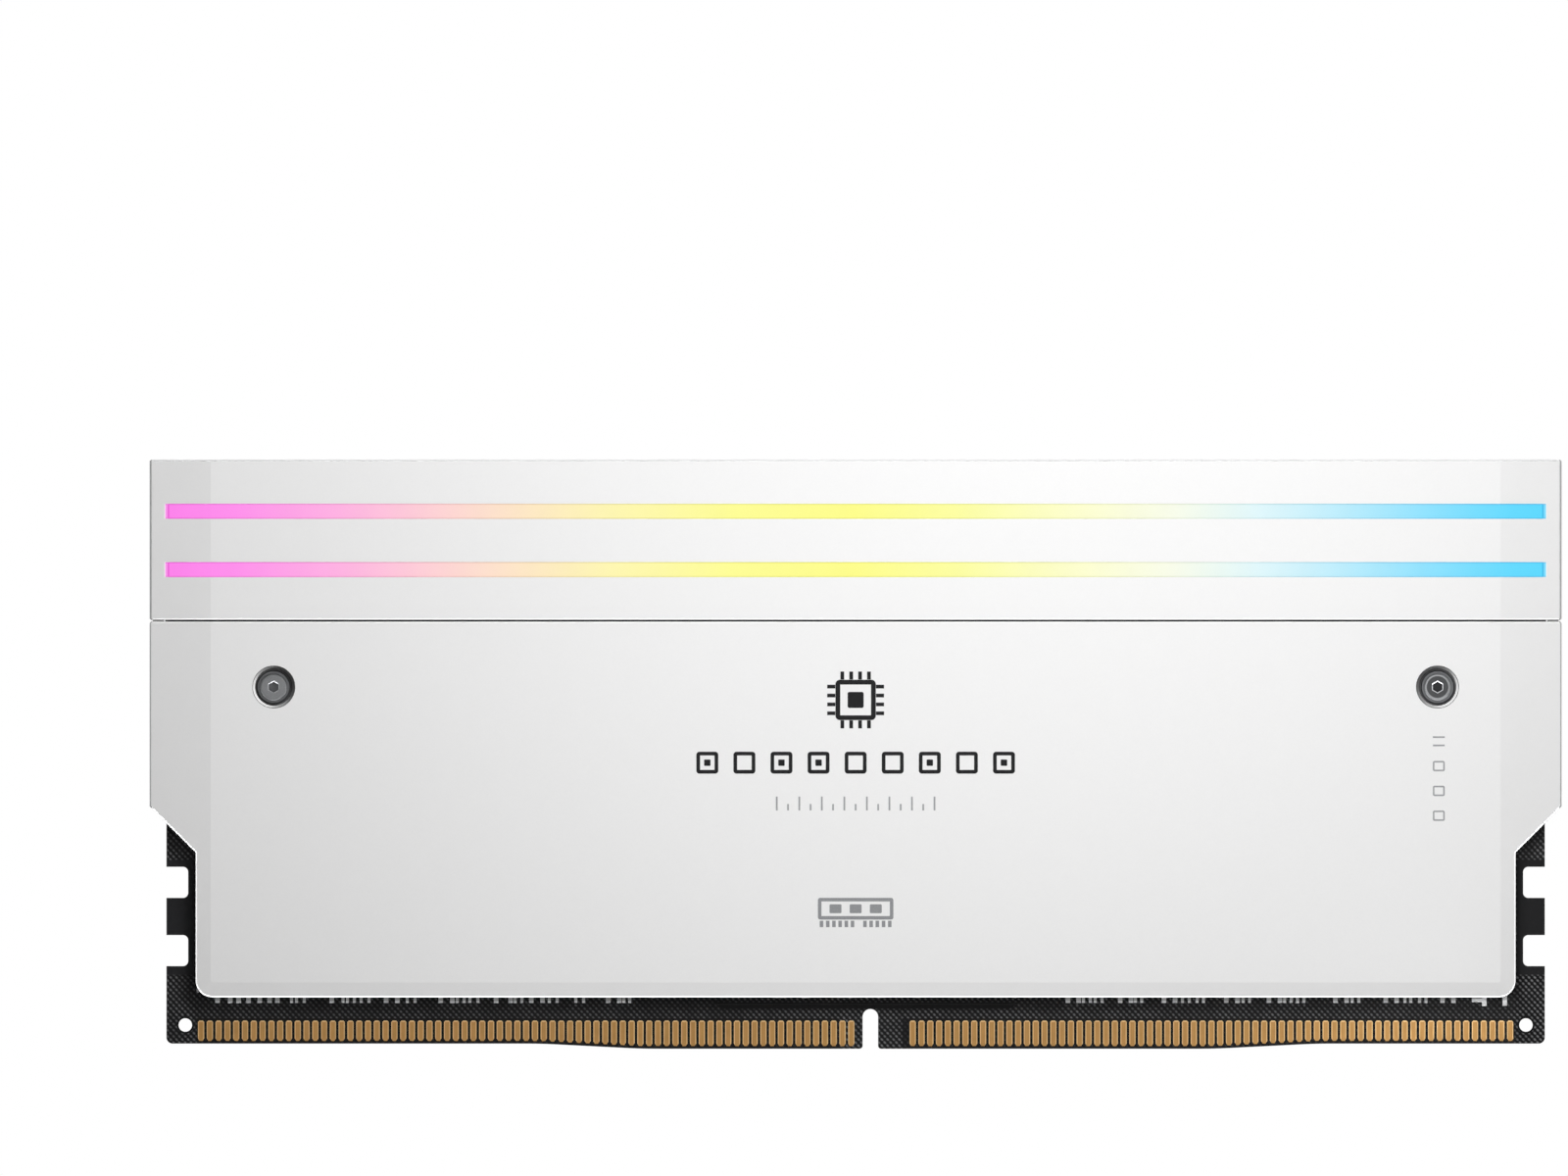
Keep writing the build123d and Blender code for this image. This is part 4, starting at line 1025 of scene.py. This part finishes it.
# ---------------------------------------------------------------------------
# Stage, lights and camera, in metres
# ---------------------------------------------------------------------------
def floor_material():
    """Pale to the camera, but gives little light back; far away it runs into the surround."""
    m = Material("floor")
    camera_ray = m.signal("LightPath", output="Is Camera Ray")
    pale = m.scaled((0.56, 0.56, 0.56), m.noise(size=40.0).spread(low=0.985, high=1.015))
    distance = (m.x * m.x + m.y * m.y).sqrt()
    far = camera_ray * distance.rise(over=(110.0, 420.0))
    seen = m.mix(pale, towards=(0, 0, 0), amount=far)
    m.set(Base_Color=m.mix((0.12, 0.12, 0.12), towards=seen, amount=camera_ray),
          Roughness=0.8, Specular_IOR_Level=0.1,
          Emission_Color=WHITE, Emission_Strength=far * 0.68 + camera_ray * 0.28)
    return m.data


def add_floor(half=8.0, gap=0.00005):
    """A square floor, a hair below the module."""
    mesh = bpy.data.meshes.new("floor")
    corners = [(-half, -half, 0), (half, -half, 0), (half, half, 0), (-half, half, 0)]
    mesh.from_pydata(corners, [], [(0, 1, 2, 3)])
    floor = bpy.data.objects.new("floor", mesh)
    floor.location = (0, 0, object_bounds()[0].z - gap)
    scene.collection.objects.link(floor)
    floor.visible_glossy = False
    mesh.materials.append(floor_material())


def area(name, location, size, power, target=None, glossy=True, diffuse=True):
    """Rectangular light, power in watts. Without a target it points along y."""
    light = bpy.data.lights.new(name, "AREA")
    light.shape = "RECTANGLE"
    light.size, light.size_y = size
    light.energy = power
    light.spread = math.radians(180.0)
    target = target or (location[0], 0.0, location[2])
    lamp = bpy.data.objects.new(name, light)
    lamp.location = location
    lamp.rotation_mode = "QUATERNION"
    lamp.rotation_quaternion = (Vector(target) - Vector(location)).to_track_quat("-Z", "Y")
    lamp.visible_camera = False
    lamp.visible_glossy = glossy
    lamp.visible_diffuse = diffuse
    scene.collection.objects.link(lamp)


def add_lights():
    area("key", (0.021, -0.195, 0.100), size=(0.08, 0.08), power=0.392, glossy=False)
    area("back_key", (-0.021, 0.195, 0.100), size=(0.08, 0.08), power=0.26, glossy=False)
    area("face_soft", (0.035, -0.50, 0.040), size=(0.19, 0.12), power=0.207)
    area("contact_card", (0.0565, -0.075, 0.0), size=(0.010, 0.025), power=0.0041,
         diffuse=False)
    area("back_soft", (-0.005, 0.50, 0.040), size=(0.19, 0.12), power=0.207)
    area("top_soft", (0.0, 0.0, 0.60), size=(0.4, 0.06), power=1.1, target=(0.0, 0.0, 0.0),
         glossy=False)
    for name, x in (("side_left", -0.45), ("side_right", 0.45)):
        area(name, (x, 0.12, 0.10), size=(0.06, 0.25), power=1.0, target=(0.0, 0.0, 0.03))


def add_world():
    """White to the camera. In reflections, dark ahead and behind and bright round the sides,
    so flat faces stay calm and every small edge catches a line of light."""
    world = bpy.data.worlds.new("studio")
    scene.world = world
    world.cycles.sampling_method = "NONE"
    world.use_nodes = True
    sky = Graph(world.node_tree)
    rays = sky.add("LightPath")
    direction = sky.add("SeparateXYZ", [(0, sky.signal("TexCoord", output="Generated"))])
    ahead, up = (Signal(sky, direction.outputs[axis]) for axis in (1, 2))
    side = (abs(ahead) / 0.42).complement()
    below = (up * -1.0).max(0.0) * side
    gloss = side * 3.5 + below * 14.0
    ambient = 0.03 + Signal(sky, rays.outputs["Is Glossy Ray"]) * gloss
    lighting = sky.signal("Background", [(0, (0.98, 0.99, 1.0, 1)), (1, ambient)])
    backdrop = sky.signal("Background", [(0, WHITE), (1, 1.0)])
    camera_ray = Signal(sky, rays.outputs["Is Camera Ray"])
    shader = sky.signal("MixShader", [(0, camera_ray), (1, lighting), (2, backdrop)])
    sky.add("OutputWorld", [(0, shader)])


def add_camera():
    """Level view of the front, without perspective."""
    data = bpy.data.cameras.new("camera")
    data.type = "ORTHO"
    data.ortho_scale = 0.15170
    data.clip_start, data.clip_end = 0.01, 20.0
    camera = bpy.data.objects.new("camera", data)
    camera.location = (-0.00693, -0.60, 0.04458)
    camera.rotation_euler = (math.radians(90), 0, 0)
    scene.collection.objects.link(camera)
    scene.camera = camera


add_floor()
add_lights()
add_world()

scene.view_settings.view_transform = "Standard"
scene.view_settings.look = "None"
scene.view_settings.exposure = 0.0
scene.view_settings.gamma = 1.0

add_camera()
